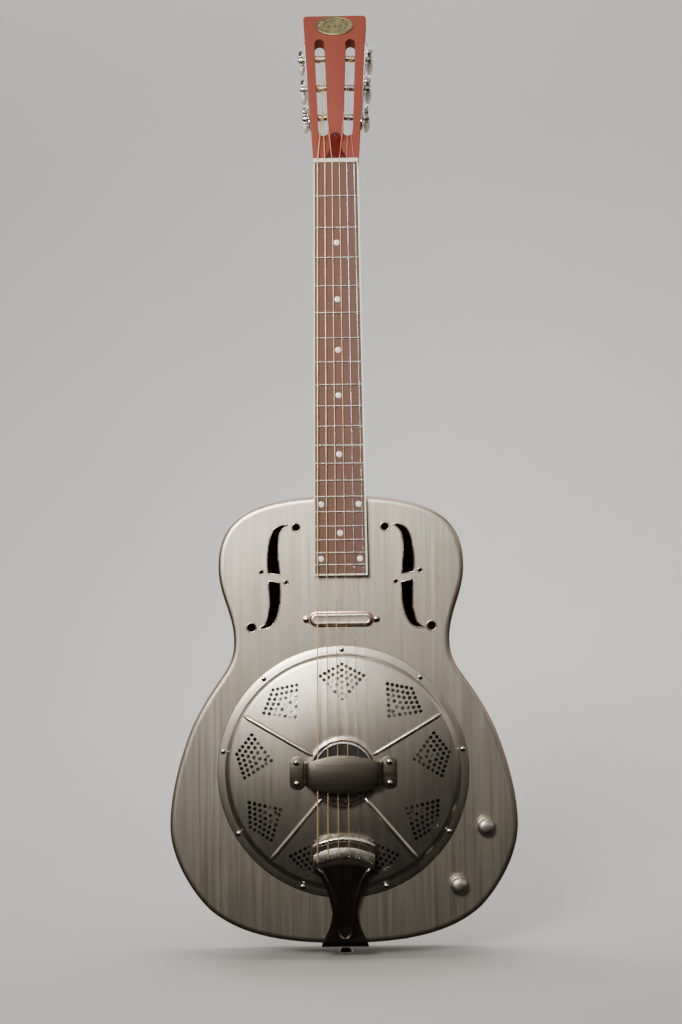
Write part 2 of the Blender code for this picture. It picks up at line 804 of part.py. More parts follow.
def head_outline():
    low, high = HEAD_HALF, HEAD_TOP_W / 2
    c = HEAD_CORNER
    points = [(-low, -4.0), (low, -4.0), (low, 0)]
    for i in range(5):
        turn = math.pi / 2 * i / 4
        points.append(
            (high - c + c * math.cos(turn), HEAD_LENGTH - c + c * math.sin(turn))
        )
    for i in range(5):
        turn = math.pi / 2 * (1 + i / 4)
        points.append(
            (-high + c + c * math.cos(turn), HEAD_LENGTH - c + c * math.sin(turn))
        )
    points.append((-low, 0))
    return points


def slot_outline(side):
    low, high = (side * SLOT_X_LOW, SLOT_LOW), (side * SLOT_X_HIGH, SLOT_HIGH)
    along = Vector((high[0] - low[0], high[1] - low[1])).normalized()
    across = Vector((-along.y, along.x))
    radius = SLOT_W / 2
    points = []
    for centre, start, sign in (
        (Vector(high) - along * radius, 0.0, 1),
        (Vector(low) + along * radius, math.pi, 1),
    ):
        for i in range(9):
            turn = start + math.pi * i / 8
            points.append(
                centre - across * radius * math.cos(turn) * sign + along * radius * math.sin(turn)
            )
    return [(p.x, p.y) for p in points]


def build_neck():
    sections = [
        neck_loop(-3.0, 15.0, NUT_WIDTH / 2),
        neck_loop(4.0, 15.0, board_half(4)),
        neck_loop(60.0, 15.4, board_half(60)),
        neck_loop(180.0, 16.6, board_half(180)),
        neck_loop(290.0, 18.0, board_half(290)),
        neck_loop(312.0, 20.5, board_half(312)),
        neck_loop(328.0, 28.0, board_half(328)),
        neck_loop(339.0, 41.0, board_half(339)),
        neck_loop(346.0, 53.0, board_half(346)),
        neck_loop(BODY_JOINT - 0.3, 60.0, board_half(350), math.sin(math.radians(NECK_ANGLE))),
    ]
    neck = loft("neck", sections, NECK, "red_mahogany")
    plate = prism("head_plate", head_outline(), 0, HEAD_THICK, HEAD)
    slope = math.tan(math.radians(NECK_ANGLE))
    under = BOARD_RISE - BOARD_THICK - CLEAR - 0.05
    tongue = [
        (-(under - 6 * slope), -BODY_JOINT + 6),
        (-(under + (432 - BODY_JOINT) * slope), -432),
        (-0.4, -432),
        (-0.4, -BODY_JOINT + 6),
    ]
    add(neck, plate, side_prism("board_support", tongue, -24, 24, BODY))
    for side in (-1, 1):
        cut(neck, prism(f"slot_{side}", slot_outline(side), -2, HEAD_THICK + 6, HEAD))
        ramp = [(-2.0, 14.0), (-2.0, 42.0), (9.0, 42.0), (9.0, 38.0)]
        x = side * SLOT_X_LOW
        low, high = sorted((x - 4.8, x + 4.8))
        cut(neck, side_prism(f"ramp_{side}", ramp, low, high, HEAD))
    for name, (frame, out) in SIDES.items():
        for i, z in enumerate(WORM_Z):
            start = (4 * out, POST_Y, z - GEAR_DROP)
            end = ((post_reach(i) - 0.5) * out, POST_Y, z - GEAR_DROP)
            cut(neck, rod(f"post_hole_{name}_{i}", start, end, POST_R + 0.3, frame, steps=14))
    groove = box("rod_groove", (-3.3, 4.0, -338), (3.3, 15.0, -1.0), NECK)
    mouth = box("rod_mouth", (-3.3, -3.0, -6.0), (3.3, 10.0, 22.0), HEAD)
    cut(neck, groove, mouth)

    steel = rod("truss_rod", (0, 11.3, -334), (0, 11.3, -2.5), 2.4, NECK, "steel", 12)
    add(steel, rod("rod_nut", (0, 11.3, -9.0), (0, 11.3, -2.5), 3.0, NECK, steps=6))
    nut = NUT_WIDTH / 2
    loft(
        "nut",
        [
            [
                (-nut, BOARD_THICK - 2.4, z),
                (nut, BOARD_THICK - 2.4, z),
                (nut, -NUT_ABOVE + 0.5, z),
                (nut - 1.2, -NUT_ABOVE - drop, z),
                (-nut + 1.2, -NUT_ABOVE - drop, z),
                (-nut, -NUT_ABOVE + 0.5, z),
            ]
            for z, drop in ((0.2, 0.0), (NUT_THICK - 0.2, -1.5))
        ],
        NECK,
        "cream",
    )
    cover = [(-10.5, 1.0), (10.5, 1.0), (9.6, 5.0), (5.8, 10.0), (5.0, 18.0), (5.5, 24.0)]
    cover += [(4.6, 28.6), (0, 31.0), (-4.6, 28.6), (-5.5, 24.0), (-5.0, 18.0)]
    cover += [(-5.8, 10.0), (-9.6, 5.0)]
    prism("truss_rod_cover", cover, -1.9, -CLEAR, HEAD, "red_mahogany")
    badge = [
        (20.2 * math.cos(math.tau * i / 24), 158.0 + 11.3 * math.sin(math.tau * i / 24))
        for i in range(24)
    ]
    prism("head_badge", badge, -1.6, -CLEAR, HEAD, "brass")


def build_fretboard():
    def board(name, trim, end, finish):
        outline = [
            (-board_half(0) + trim, -0.1),
            (board_half(0) - trim, -0.1),
            (board_half(end) - trim, -end),
            (-board_half(end) + trim, -end),
        ]
        return prism(name, outline, 0, BOARD_THICK, NECK, finish)

    rim = 1.6
    wood = board("fretboard", rim, BOARD_END - rim, "rosewood")
    for number in range(1, FRETS + 1):
        along = SCALE_LENGTH * (1 - 2 ** (-number / 12))
        half = board_half(along) - rim - 0.1
        wire = [(0.6, 1.1), (-0.5, 1.1), (-1.0, 0.55), (-1.0, -0.55), (-0.5, -1.1), (0.6, -1.1)]
        outline = [(y, z - along) for y, z in wire]
        add(wood, side_prism(f"fret_{number}", outline, -half, half, NECK))
    binding = board("fretboard_binding", 0, BOARD_END, "cream")
    core = [
        (-board_half(0) + rim - 0.06, 5),
        (board_half(0) - rim + 0.06, 5),
        (board_half(BOARD_END) - rim + 0.06, -BOARD_END + rim - 0.06),
        (-board_half(BOARD_END) + rim - 0.06, -BOARD_END + rim - 0.06),
    ]
    cut(binding, prism("binding_core", core, -3, BOARD_THICK + 3, NECK))


# ---- tuners -----------------------------------------------------------------------
def head_half(z):
    return HEAD_HALF + math.tan(TAPER) * z


def slot_centre(z):
    share = (z - SLOT_LOW) / (SLOT_HIGH - SLOT_LOW)
    return SLOT_X_LOW + (SLOT_X_HIGH - SLOT_X_LOW) * share


def post_reach(i):
    """How far a string post runs in from the head's side, as a negative distance."""
    z = WORM_Z[i] - GEAR_DROP
    return -(head_half(z) - slot_centre(z) + SLOT_W / 2 + 4.2)


def build_tuner_plate(name):
    frame, out = SIDES[name]
    low, high = WORM_Z[0] - 20.5, WORM_Z[-1] + 14.5
    outline = stadium(8.6, (high - low) / 2, (HEAD_THICK / 2, (low + high) / 2))
    inner, outer = sorted((CLEAR * out, 1.7 * out))
    plate = side_prism(f"tuner_plate_{name}", outline, inner, outer, frame, "bright_nickel")
    for i, z in enumerate(WORM_Z):
        for k, (front, rear) in enumerate(((-1.0, 3.3), (13.7, 17.4))):
            ear = [(0.9, z - 3.2), (6.2, z - 3.4), (8.8, z - 1.6)]
            ear += [(8.8, z + 1.6), (6.2, z + 3.4), (0.9, z + 3.2)]
            ear = [(x * out, height) for x, height in ear]
            add(plate, prism(f"ear_{name}_{i}_{k}", ear, front, rear, frame))
        start, end = (WORM_X * out, -5, z), (WORM_X * out, 25, z)
        cut(plate, rod(f"worm_bore_{name}_{i}", start, end, 1.8, frame, steps=8))
        start, end = (-3, POST_Y, z - GEAR_DROP), (3, POST_Y, z - GEAR_DROP)
        cut(plate, rod(f"post_bore_{name}_{i}", start, end, POST_R + 0.3, frame, steps=12))


def build_tuner(number, name, i):
    frame, out = SIDES[name]
    z = WORM_Z[i]
    worm = [
        (0, -2.0),
        (1.6, -2.0),
        (1.6, 3.6),
        (2.3, 3.9),
        (2.3, 13.1),
        (1.6, 13.4),
        (1.6, BUTTON_Y + 2.0),
        (0, BUTTON_Y + 2.0),
    ]
    axis = (WORM_X * out, 0, z)
    turned(f"tuner_worm_{number}", worm, axis, (0, 1, 0), frame, "bright_nickel", 10)
    loops = []
    for share in (-1.0, -0.7, 0.0, 0.7, 1.0):
        wide = 3.75 * math.sqrt(max(1 - 0.72 * share * share, 0.05))
        length = 9.0 * math.sqrt(max(1 - 0.62 * share * share, 0.05))
        loops.append(
            [
                (
                    WORM_X * out + wide * math.cos(math.tau * k / 12),
                    BUTTON_Y + 6.5 * share,
                    z + length * math.sin(math.tau * k / 12),
                )
                for k in range(12)
            ]
        )
    middle = (WORM_X * out, BUTTON_Y, z)
    button = loft(f"tuner_button_{number}", loops, frame, "cream", middle)
    start = (WORM_X * out, BUTTON_Y - 9, z)
    end = (WORM_X * out, BUTTON_Y + 2.4, z)
    cut(button, rod(f"button_bore_{number}", start, end, 1.8, frame, steps=10))

    centre = z - GEAR_DROP
    stations = [
        (post_reach(i), POST_R),
        (2.4, POST_R),
        (3.0, 2.0),
        (3.6, 2.0),
        (3.6, GEAR_R),
        (7.4, GEAR_R),
        (7.4, 2.0),
        (8.4, 2.0),
    ]
    profile = [(0, stations[0][0])] + [(r, x) for x, r in stations] + [(0, stations[-1][0])]
    seat = (0, POST_Y, centre)
    turned(f"string_roller_{number}", profile, seat, (out, 0, 0), frame, "steel", GEAR_TEETH)


# ---- strings ----------------------------------------------------------------------
STRING_POST = (0, 1, 2, 2, 1, 0)  # which post each string winds on, counted from the nut
STRING_POST_X = (-14.6, -14.4, -15.6, 15.6, 14.4, 14.6)


def string_x(index, spread):
    return -spread / 2 + spread * index / 5


def build_string(index):
    radius = STRING_R[index]
    spot = STRING_POST[index]
    centre = WORM_Z[spot] - GEAR_DROP
    x_post = STRING_POST_X[index]
    sink = (head_half(centre) - abs(x_post)) * math.sin(TAPER)
    post = HEAD.at(x_post, POST_Y - POST_R - radius - 0.15, centre + sink)
    nut = NECK.at(string_x(index, NUT_SPREAD), -NUT_ABOVE - radius - 0.15, 2.0)
    above_saddle = STRING_AT_BRIDGE - STRING_R[0] + radius
    saddle = BODY.at(string_x(index, BRIDGE_SPREAD), -above_saddle, -CONE_V)
    tail = BODY.at(string_x(index, TAIL_SPREAD), -TAIL_H, -TAIL_V)
    finish = "bronze_string" if index < 4 else "steel_string"
    wire(f"string_{6 - index}", [post, nut, saddle, tail], radius, WORLD, finish)


# ---- assembly ---------------------------------------------------------------------
def main():
    bpy.context.scene.collection.children.link(GUITAR)
    bpy.context.scene.collection.children.link(CUTTERS)
    for frame in FRAMES:
        GUITAR.objects.link(frame.empty)
    build_body()
    build_cone()
    build_cover()
    build_pickup()
    build_controls()
    build_tailpiece()
    build_neck()
    build_fretboard()
    build_tuner_plate("left")
    build_tuner_plate("right")
    for index in range(6):
        build_tuner(6 - index, "left" if index < 3 else "right", STRING_POST[index])
        build_string(index)


main()
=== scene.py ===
"""Looks of a metal-bodied resonator guitar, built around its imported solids.

Sizes are written in millimetres and turned into metres on the bench.  The guitar stands
upright: +Z runs to the head, -Y out of the front, +X to the right of whoever looks at it.
"""

from __future__ import annotations

import json
import logging
import math
import sys
from dataclasses import dataclass, field
from enum import Enum
from typing import Callable, Iterable, Sequence

import bmesh
import bpy
from mathutils import Matrix, Vector

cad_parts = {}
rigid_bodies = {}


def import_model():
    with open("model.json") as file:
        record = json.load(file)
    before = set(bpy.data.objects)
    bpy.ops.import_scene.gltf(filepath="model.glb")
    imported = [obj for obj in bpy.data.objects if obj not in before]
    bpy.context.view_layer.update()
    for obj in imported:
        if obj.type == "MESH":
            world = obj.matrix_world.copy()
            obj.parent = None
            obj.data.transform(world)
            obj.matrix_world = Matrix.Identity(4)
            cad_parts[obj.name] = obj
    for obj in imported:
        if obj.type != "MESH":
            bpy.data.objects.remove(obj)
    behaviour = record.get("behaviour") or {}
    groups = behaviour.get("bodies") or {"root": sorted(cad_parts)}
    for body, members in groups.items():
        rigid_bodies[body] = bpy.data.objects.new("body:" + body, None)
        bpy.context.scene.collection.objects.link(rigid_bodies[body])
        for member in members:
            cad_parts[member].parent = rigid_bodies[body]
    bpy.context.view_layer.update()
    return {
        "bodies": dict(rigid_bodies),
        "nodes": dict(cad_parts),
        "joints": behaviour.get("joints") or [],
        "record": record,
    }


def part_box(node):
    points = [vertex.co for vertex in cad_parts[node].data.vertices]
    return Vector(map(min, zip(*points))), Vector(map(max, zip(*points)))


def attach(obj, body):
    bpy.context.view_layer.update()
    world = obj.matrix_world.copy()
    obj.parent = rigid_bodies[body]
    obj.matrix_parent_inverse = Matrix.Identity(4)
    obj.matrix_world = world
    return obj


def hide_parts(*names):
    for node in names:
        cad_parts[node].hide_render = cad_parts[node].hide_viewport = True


LOG = logging.getLogger("resonator_guitar")
MM = 0.001
Point = Sequence[float]
Pair = tuple[float, float]
Triple = tuple[float, float, float]
Thing = bpy.types.Object
Socket = bpy.types.NodeSocket


class Body(Enum):
    """The moving bodies that pieces ride on; numbered ones take a string number."""

    GUITAR = "guitar"
    TUNER = "tuner_{}"
    ROLLER = "roller_{}"
    VOLUME = "volume_control"
    TONE = "tone_control"

    def named(self, number: int = 0) -> str:
        """The body's name, with the string's number where it has one."""
        return self.value.format(number)


# ---- frames ----
@dataclass(frozen=True)
class Layout:
    """Sizes shared by several makers, in millimetres and degrees."""

    front: float = -24.8
    depth: float = 82.0
    sheet: float = 1.2
    joint: float = 350.8
    neck_angle: float = 2.0
    board_rise: float = 9.5
    board_thick: float = 6.0
    board_end: float = 434.0
    nut_width: float = 47.5
    nut_thick: float = 4.8
    head_angle: float = 13.0
    head_drop: float = 5.0
    head_length: float = 170.5
    head_top: float = 68.0
    head_thick: float = 18.0
    cone: float = 638.0
    scale_length: float = 635.0
    end: float = 816.8
    end_height: float = -41.0

    @property
    def head_half(self) -> float:
        """Half the head's width at the nut."""
        return self.nut_width / 2 + 0.3

    @property
    def taper(self) -> float:
        """How far each side of the head leans out, in radians."""
        return math.atan2(self.head_top / 2 - self.head_half, self.head_length)

    def body_frame(self) -> Matrix:
        """Millimetres from the body's front face to the world."""
        return Matrix.Scale(MM, 4) @ Matrix.Translation((0, self.front, 0))

    def neck_frame(self) -> Matrix:
        """Millimetres from the fretboard's end at the nut to the world.

        Returns:
            The frame, with its origin at the nut.
        """
        nut = self.front - self.board_rise + self.joint * math.tan(math.radians(self.neck_angle))
        turn = Matrix.Rotation(math.radians(-self.neck_angle), 4, "X")
        return Matrix.Scale(MM, 4) @ Matrix.Translation((0, nut, 0)) @ turn

    def head_frame(self) -> Matrix:
        """Millimetres from the head's face at the nut to the world.

        Returns:
            The frame, with its origin at the nut.
        """
        turn = Matrix.Rotation(math.radians(-self.head_angle), 4, "X")
        shift = Matrix.Translation((0, self.head_drop, self.nut_thick))
        return self.neck_frame() @ shift @ turn

    def side_frame(self, out: int) -> Matrix:
        """Millimetres from one side of the head to the world."""
        shift = Matrix.Translation((self.head_half * out, 0, 0))
        return self.head_frame() @ shift @ Matrix.Rotation(self.taper * out, 4, "Y")

    def head_half_at(self, height: float) -> float:
        """Half the head's width at a height above the nut."""
        return self.head_half + math.tan(self.taper) * height

    def board_half(self, along: float) -> float:
        """Half the fretboard's width at a distance below the nut."""
        return self.nut_width / 2 + (28.0 - self.nut_width / 2) * along / self.board_end


LAYOUT = Layout()
BODY = LAYOUT.body_frame()
NECK = LAYOUT.neck_frame()
HEAD = LAYOUT.head_frame()
STAND = Matrix.Rotation(math.pi / 2, 4, "X")  # a flat piece stands up, its top to the front
DOWN = Matrix.Rotation(math.pi, 4, "X")


def front(x: float, down: float, lift: float = 0.0) -> Matrix:
    """The place of a piece on the body's front, its +Z facing out."""
    return BODY @ Matrix.Translation((x, -lift, -down)) @ STAND


def on_head(x: float, up: float, lift: float = 0.0) -> Matrix:
    """The place of a piece on the head's face, its +Z facing out."""
    return HEAD @ Matrix.Translation((x, -lift, up)) @ STAND


# ---- curves worked out by rule ----
def cubic(p0: Point, p1: Point, p2: Point, p3: Point, steps: int) -> list[tuple[float, ...]]:
    """Points of one cubic span, without its last point.

    Args:
        p0: where it starts.
        p1: the handle at its start.
        p2: the handle at its end.
        p3: where it ends.
        steps: how many points it gets.

    Returns:
        The points, without the last one.
    """
    points = []
    for i in range(steps):
        t = i / steps
        s = 1 - t
        points.append(
            tuple(
                s**3 * a + 3 * s * s * t * b + 3 * s * t * t * c + t**3 * d
                for a, b, c, d in zip(p0, p1, p2, p3)
            )
        )
    return points


def through(points: Sequence[Point], steps: int = 6) -> list[tuple[float, ...]]:
    """A smooth row of points that passes through all the given ones.

    Args:
        points: the corners to pass through.
        steps: how many points each span gets.

    Returns:
        The points of the curve.
    """
    row = []
    last = len(points) - 1
    for i in range(last):
        a, b = points[i], points[i + 1]
        before, after = points[max(i - 1, 0)], points[min(i + 2, last)]
        out = [p + (q - r) / 6 for p, q, r in zip(a, b, before)]
        back = [p - (q - r) / 6 for p, q, r in zip(b, after, a)]
        row += cubic(a, out, back, b, steps)
    row.append(tuple(points[-1]))
    return row


def stadium(half_x: float, half_y: float, steps: int = 10) -> list[Pair]:
    """A bar outline with round ends, anticlockwise.

    Args:
        half_x: its half width.
        half_y: its half height.
        steps: how many points each round end gets.

    Returns:
        The outline, counterclockwise.
    """
    radius = min(half_x, half_y)
    row: list[Pair] = []
    for quarter, (sx, sy) in enumerate(((1, 1), (-1, 1), (-1, -1), (1, -1))):
        for i in range(steps + 1):
            turn = math.pi / 2 * (quarter + i / steps)
            x = sx * (half_x - radius) + radius * math.cos(turn)
            y = sy * (half_y - radius) + radius * math.sin(turn)
            if all(math.dist((x, y), p) > 1e-5 for p in row[-1:] + row[:1]):
                row.append((x, y))
    return row


def oval(half_x: float, half_y: float, steps: int = 48) -> list[Pair]:
    """An ellipse outline, anticlockwise."""
    turns = (math.tau * i / steps for i in range(steps))
    return [(half_x * math.cos(t), half_y * math.sin(t)) for t in turns]


def ribbon(path: Sequence[Point]) -> list[Pair]:
    """The outline of a stroke given as (x, y, half width) points.

    Args:
        path: x, y and half width along the middle line.

    Returns:
        The outline of both edges.
    """
    left, right = [], []
    for i, (x, y, half) in enumerate(path):
        before, after = path[max(i - 1, 0)], path[min(i + 1, len(path) - 1)]
        dx, dy = after[0] - before[0], after[1] - before[1]
        length = math.hypot(dx, dy)
        left.append((x - dy / length * half, y + dx / length * half))
        right.append((x + dy / length * half, y - dx / length * half))
    return left + right[::-1]


# ---- the bench ----
class Bench:
    """Modelling moves that the makers share, each done with Blender's own operators."""

    @staticmethod
    def clear() -> None:
        """Leave edit mode and deselect everything."""
        if bpy.context.object and bpy.context.object.mode != "OBJECT":
            bpy.ops.object.mode_set(mode="OBJECT")
        bpy.ops.object.select_all(action="DESELECT")

    @classmethod
    def take(cls, item: Thing) -> Thing:
        """Make one object the only selected one.

        Args:
            item: the piece.

        Returns:
            The same piece, now active.
        """
        cls.clear()
        item.select_set(True)
        bpy.context.view_layer.objects.active = item
        return item

    @classmethod
    def place(cls, item: Thing, matrix: Matrix) -> Thing:
        """Put an object in place and move that place into its mesh.

        Args:
            item: the piece.
            matrix: where it goes.

        Returns:
            The same piece.
        """
        cls.take(item)
        item.matrix_world = matrix @ item.matrix_world
        bpy.ops.object.transform_apply(location=True, rotation=True, scale=True)
        return item

    @classmethod
    def edit(cls, item: Thing) -> bmesh.types.BMesh:
        """Open an object in edit mode with nothing selected, and hand back its mesh.

        Args:
            item: the piece.

        Returns:
            The piece's mesh in edit mode.
        """
        cls.take(item)
        bpy.ops.object.mode_set(mode="EDIT")
        bpy.ops.mesh.select_all(action="DESELECT")
        bpy.ops.mesh.select_mode(type="VERT")
        return bmesh.from_edit_mesh(item.data)

    @staticmethod
    def done() -> None:
        """Turn all faces outwards and leave edit mode."""
        bpy.ops.mesh.select_all(action="SELECT")
        bpy.ops.mesh.normals_make_consistent(inside=False)
        bpy.ops.object.mode_set(mode="OBJECT")

    @classmethod
    def turn(
        cls, name: str, profile: Sequence[Point], matrix: Matrix, steps: int = 64,
        ring: bool = False,
    ) -> Thing:
        """Draw a profile point by point and spin it round +Z.

        Args:
            name: the new piece's name.
            profile: (radius, height) points, from axis to axis unless it is a ring.
            matrix: where the piece goes.
            steps: how many steps make the full turn.
            ring: whether the profile closes on itself, off the axis.

        Returns:
            The turned piece.
        """
        cls.clear()
        bpy.ops.mesh.primitive_plane_add(size=1)
        item = bpy.context.object
        item.name = item.data.name = name
        bpy.ops.object.mode_set(mode="EDIT")
        bpy.ops.mesh.select_mode(type="VERT")
        bpy.ops.mesh.select_all(action="SELECT")
        bpy.ops.mesh.merge(type="CENTER")
        bpy.ops.transform.translate(value=(profile[0][0], 0, profile[0][1]))
        for a, b in zip(profile, profile[1:]):
            step = (b[0] - a[0], 0, b[1] - a[1])
            bpy.ops.mesh.extrude_vertices_move(TRANSFORM_OT_translate={"value": step})
        if ring:
            mesh = bmesh.from_edit_mesh(item.data)
            mesh.verts.ensure_lookup_table()
            mesh.verts[0].select = mesh.verts[-1].select = True
            bmesh.update_edit_mesh(item.data)
            bpy.ops.mesh.edge_face_add()
        bpy.ops.mesh.select_all(action="SELECT")
        bpy.ops.mesh.spin(steps=steps, angle=math.tau, center=(0, 0, 0), axis=(0, 0, 1))
        bpy.ops.mesh.select_all(action="SELECT")
        bpy.ops.mesh.remove_doubles(threshold=1e-3)
        cls.done()
        return cls.place(item, matrix)

    @classmethod
    def stack(
        cls, name: str, rings: Sequence[Sequence[Point]], matrix: Matrix, closed: bool = True,
    ) -> Thing:
        """Bridge a row of rings with equal point counts and fill both ends.

        Args:
            name: the new piece's name.
            rings: each ring's points in millimetres.
            matrix: where the piece goes.
            closed: whether the two ends are filled.

        Returns:
            The bridged piece.
        """
        cls.clear()
        count = len(rings[0])
        bpy.ops.mesh.primitive_circle_add(vertices=count, radius=1)
        item = bpy.context.object
        item.name = item.data.name = name
        bpy.ops.object.mode_set(mode="EDIT")
        bpy.ops.mesh.select_mode(type="VERT")
        for number, ring in enumerate(rings):
            if number:
                bpy.ops.mesh.select_all(action="DESELECT")
                bpy.ops.mesh.primitive_circle_add(vertices=count, radius=1)
            mesh = bmesh.from_edit_mesh(item.data)
            mesh.verts.ensure_lookup_table()
            for i, point in enumerate(ring):
                mesh.verts[number * count + i].co = point
            bmesh.update_edit_mesh(item.data)
        for number in range(len(rings) - 1):
            cls.select_range(item, number * count, (number + 2) * count)
            bpy.ops.mesh.bridge_edge_loops()
        if closed:
            for number in (0, len(rings) - 1):
                cls.select_range(item, number * count, (number + 1) * count)
                bpy.ops.mesh.edge_face_add()
        cls.done()
        return cls.place(item, matrix)

    @staticmethod
    def select_range(item: Thing, low: int, high: int) -> None:
        """Select the vertices numbered from low up to high, and what lies between them.

        Args:
            item: the piece.
            low: the first vertex.
            high: the vertex after the last one.
        """
        bpy.ops.mesh.select_all(action="DESELECT")
        mesh = bmesh.from_edit_mesh(item.data)
        mesh.verts.ensure_lookup_table()
        for i in range(low, high):
            mesh.verts[i].select = True
        mesh.select_flush(True)
        bmesh.update_edit_mesh(item.data)

    @classmethod
    def slab(
        cls, name: str, outline: Sequence[Point], thick: float, matrix: Matrix, bevel: float = 0.0,
        segments: int = 2,
    ) -> Thing:
        """Fill a flat outline, pull it up to a thickness and round its upper rim.

        Args:
            name: the new piece's name.
            outline: (x, y) points in millimetres.
            thick: the height it is pulled up along +Z.
            matrix: where the piece goes.
            bevel: the width of the rounded rim, or 0 for a plain edge.
            segments: how many steps round the rim.

        Returns:
            The raised piece.
        """
        cls.clear()
        bpy.ops.mesh.primitive_circle_add(vertices=len(outline), radius=1, fill_type="NGON")
        item = bpy.context.object
        item.name = item.data.name = name
        for vertex, (x, y) in zip(item.data.vertices, outline):
            vertex.co = (x, y, 0)
        bpy.ops.object.mode_set(mode="EDIT")
        bpy.ops.mesh.select_all(action="SELECT")
        bpy.ops.mesh.extrude_region_move(TRANSFORM_OT_translate={"value": (0, 0, thick)})
        if bevel:
            bpy.ops.mesh.select_all(action="DESELECT")
            bpy.ops.mesh.select_mode(type="EDGE")
            mesh = bmesh.from_edit_mesh(item.data)
            for edge in mesh.edges:
                edge.select = all(abs(v.co.z - thick) < 1e-4 for v in edge.verts)
            bmesh.update_edit_mesh(item.data)
            bpy.ops.mesh.bevel(offset=bevel, segments=segments)
            bpy.ops.mesh.select_mode(type="VERT")
        cls.done()
        return cls.place(item, matrix)

    @classmethod
    def wire(
        cls, name: str, points: Iterable[Point], radius: float, matrix: Matrix, sides: int = 2,
        width: Sequence[float] = (),
    ) -> Thing:
        """Draw a round wire along points and make it a mesh.

        Args:
            name: the new piece's name.
            points: the line it follows, in millimetres.
            radius: half its thickness.
            matrix: where the piece goes.
            sides: the bevel's resolution.
            width: a factor on the radius at each point, if it changes.

        Returns:
            The wire as a closed mesh.
        """
        points = list(points)
        curve = bpy.data.curves.new(name, "CURVE")
        curve.dimensions = "3D"
        curve.bevel_depth = radius
        curve.bevel_resolution = sides
        curve.use_fill_caps = True
        line = curve.splines.new("POLY")
        line.points.add(len(points) - 1)
        for i, (spot, point) in enumerate(zip(line.points, points)):
            spot.co = (*point, 1)
            if width:
                spot.radius = width[i]
        item = bpy.data.objects.new(name, curve)
        bpy.context.scene.collection.objects.link(item)
        cls.take(item)
        bpy.ops.object.convert(target="MESH")
        item = bpy.context.object
        item.name = item.data.name = name
        cls.edit(item)
        bpy.ops.mesh.select_all(action="SELECT")
        bpy.ops.mesh.remove_doubles(threshold=1e-4)
        cls.done()
        return cls.place(item, matrix)

    @classmethod
    def copy(cls, item: Thing, name: str, matrix: Matrix) -> Thing:
        """A copy with its own mesh, moved by a matrix of the world.

        Args:
            item: the piece.
            name: the new piece's name.
            matrix: where it goes.

        Returns:
            The copy, with its own mesh.
        """
        twin = item.copy()
        twin.data = item.data.copy()
        twin.name = twin.data.name = name
        bpy.context.scene.collection.objects.link(twin)
        return cls.place(twin, matrix)

    @classmethod
    def join(cls, name: str, items: Sequence[Thing]) -> Thing:
        """Make several meshes one object.

        Args:
            name: the new piece's name.
            items: the pieces to make one of.

        Returns:
            The joined piece.
        """
        cls.clear()
        for item in items:
            item.select_set(True)
        bpy.context.view_layer.objects.active = items[0]
        bpy.ops.object.join()
        items[0].name = items[0].data.name = name
        return items[0]

    @classmethod
    def carve(cls, item: Thing, *tools: Thing, union: bool = False) -> Thing:
        """Cut tools out of a piece, or melt them into it, and throw the tools away.

        Args:
            item: the piece.
            tools: the cutters, used up.
            union: adds the tools instead of cutting.

        Returns:
            The same piece.
        """
        for tool in tools:
            cls.take(item)
            step = item.modifiers.new("carve", "BOOLEAN")
            step.operation = "UNION" if union else "DIFFERENCE"
            step.solver = "EXACT"
            step.object = tool
            bpy.ops.object.modifier_apply(modifier=step.name)
            data = tool.data
            bpy.data.objects.remove(tool)
            bpy.data.meshes.remove(data)
        return item

    @classmethod
    def soften(cls, item: Thing, width: float, segments: int = 2, angle: float = 40.0) -> Thing:
        """Round the sharp edges of a placed piece with an applied bevel.

        Args:
            item: the piece.
            width: how wide the rounding is, in millimetres.
            segments: how fine it is.
            angle: the sharpest angle left alone, in degrees.

        Returns:
            The same piece.
        """
        cls.take(item)
        step = item.modifiers.new("soften", "BEVEL")
        step.width = width * MM
        step.segments = segments
        step.limit_method = "ANGLE"
        step.angle_limit = math.radians(angle)
        step.use_clamp_overlap = True
        bpy.ops.object.modifier_apply(modifier=step.name)
        return item

    @classmethod
    def smooth(cls, item: Thing, angle: float = 35.0) -> Thing:
        """Shade a piece smooth up to an angle.

        Args:
            item: the piece.
            angle: edges sharper than this stay sharp, in degrees.

        Returns:
            The same piece.
        """
        cls.take(item)
        bpy.ops.object.shade_smooth_by_angle(angle=math.radians(angle))
        return item

    @classmethod
    def rub(cls, item: Thing, rule: Callable[[Vector, Vector], float]) -> Thing:
        """Store how worn each face is, or -1 where a face gets painted shade inside the body.

        Args:
            item: the placed piece.
            rule: gives the wear, or -1 for painted shade, from a face's centre and normal.

        Returns:
            The same piece.
        """
        store = item.data.attributes.new("wear_and_shade", "FLOAT", "FACE")
        for face in item.data.polygons:
            store.data[face.index].value = rule(face.center, face.normal)
        return item

    @classmethod
    def mirrored(cls, item: Thing, name: str) -> Thing:
        """A copy on the other side of the guitar's middle, its faces turned right.

        Args:
            item: the piece.
            name: the new piece's name.

        Returns:
            Its mirror image on the other side.
        """
        twin = cls.copy(item, name, Matrix.Scale(-1, 4, (1, 0, 0)))
        cls.edit(twin)
        cls.done()
        return twin

    @classmethod
    def many(cls, name: str, pattern: Thing, places: Sequence[Matrix]) -> Thing:
        """Copies of a pattern at several places, as one piece; the pattern is used up.

        Args:
            name: the new piece's name.
            pattern: the piece to copy, used up.
            places: where each copy goes.

        Returns:
            All the copies as one piece.
        """
        copies = [cls.copy(pattern, f"{name}_part", place) for place in places]
        data = pattern.data
        bpy.data.objects.remove(pattern)
        bpy.data.meshes.remove(data)
        return cls.join(name, copies)


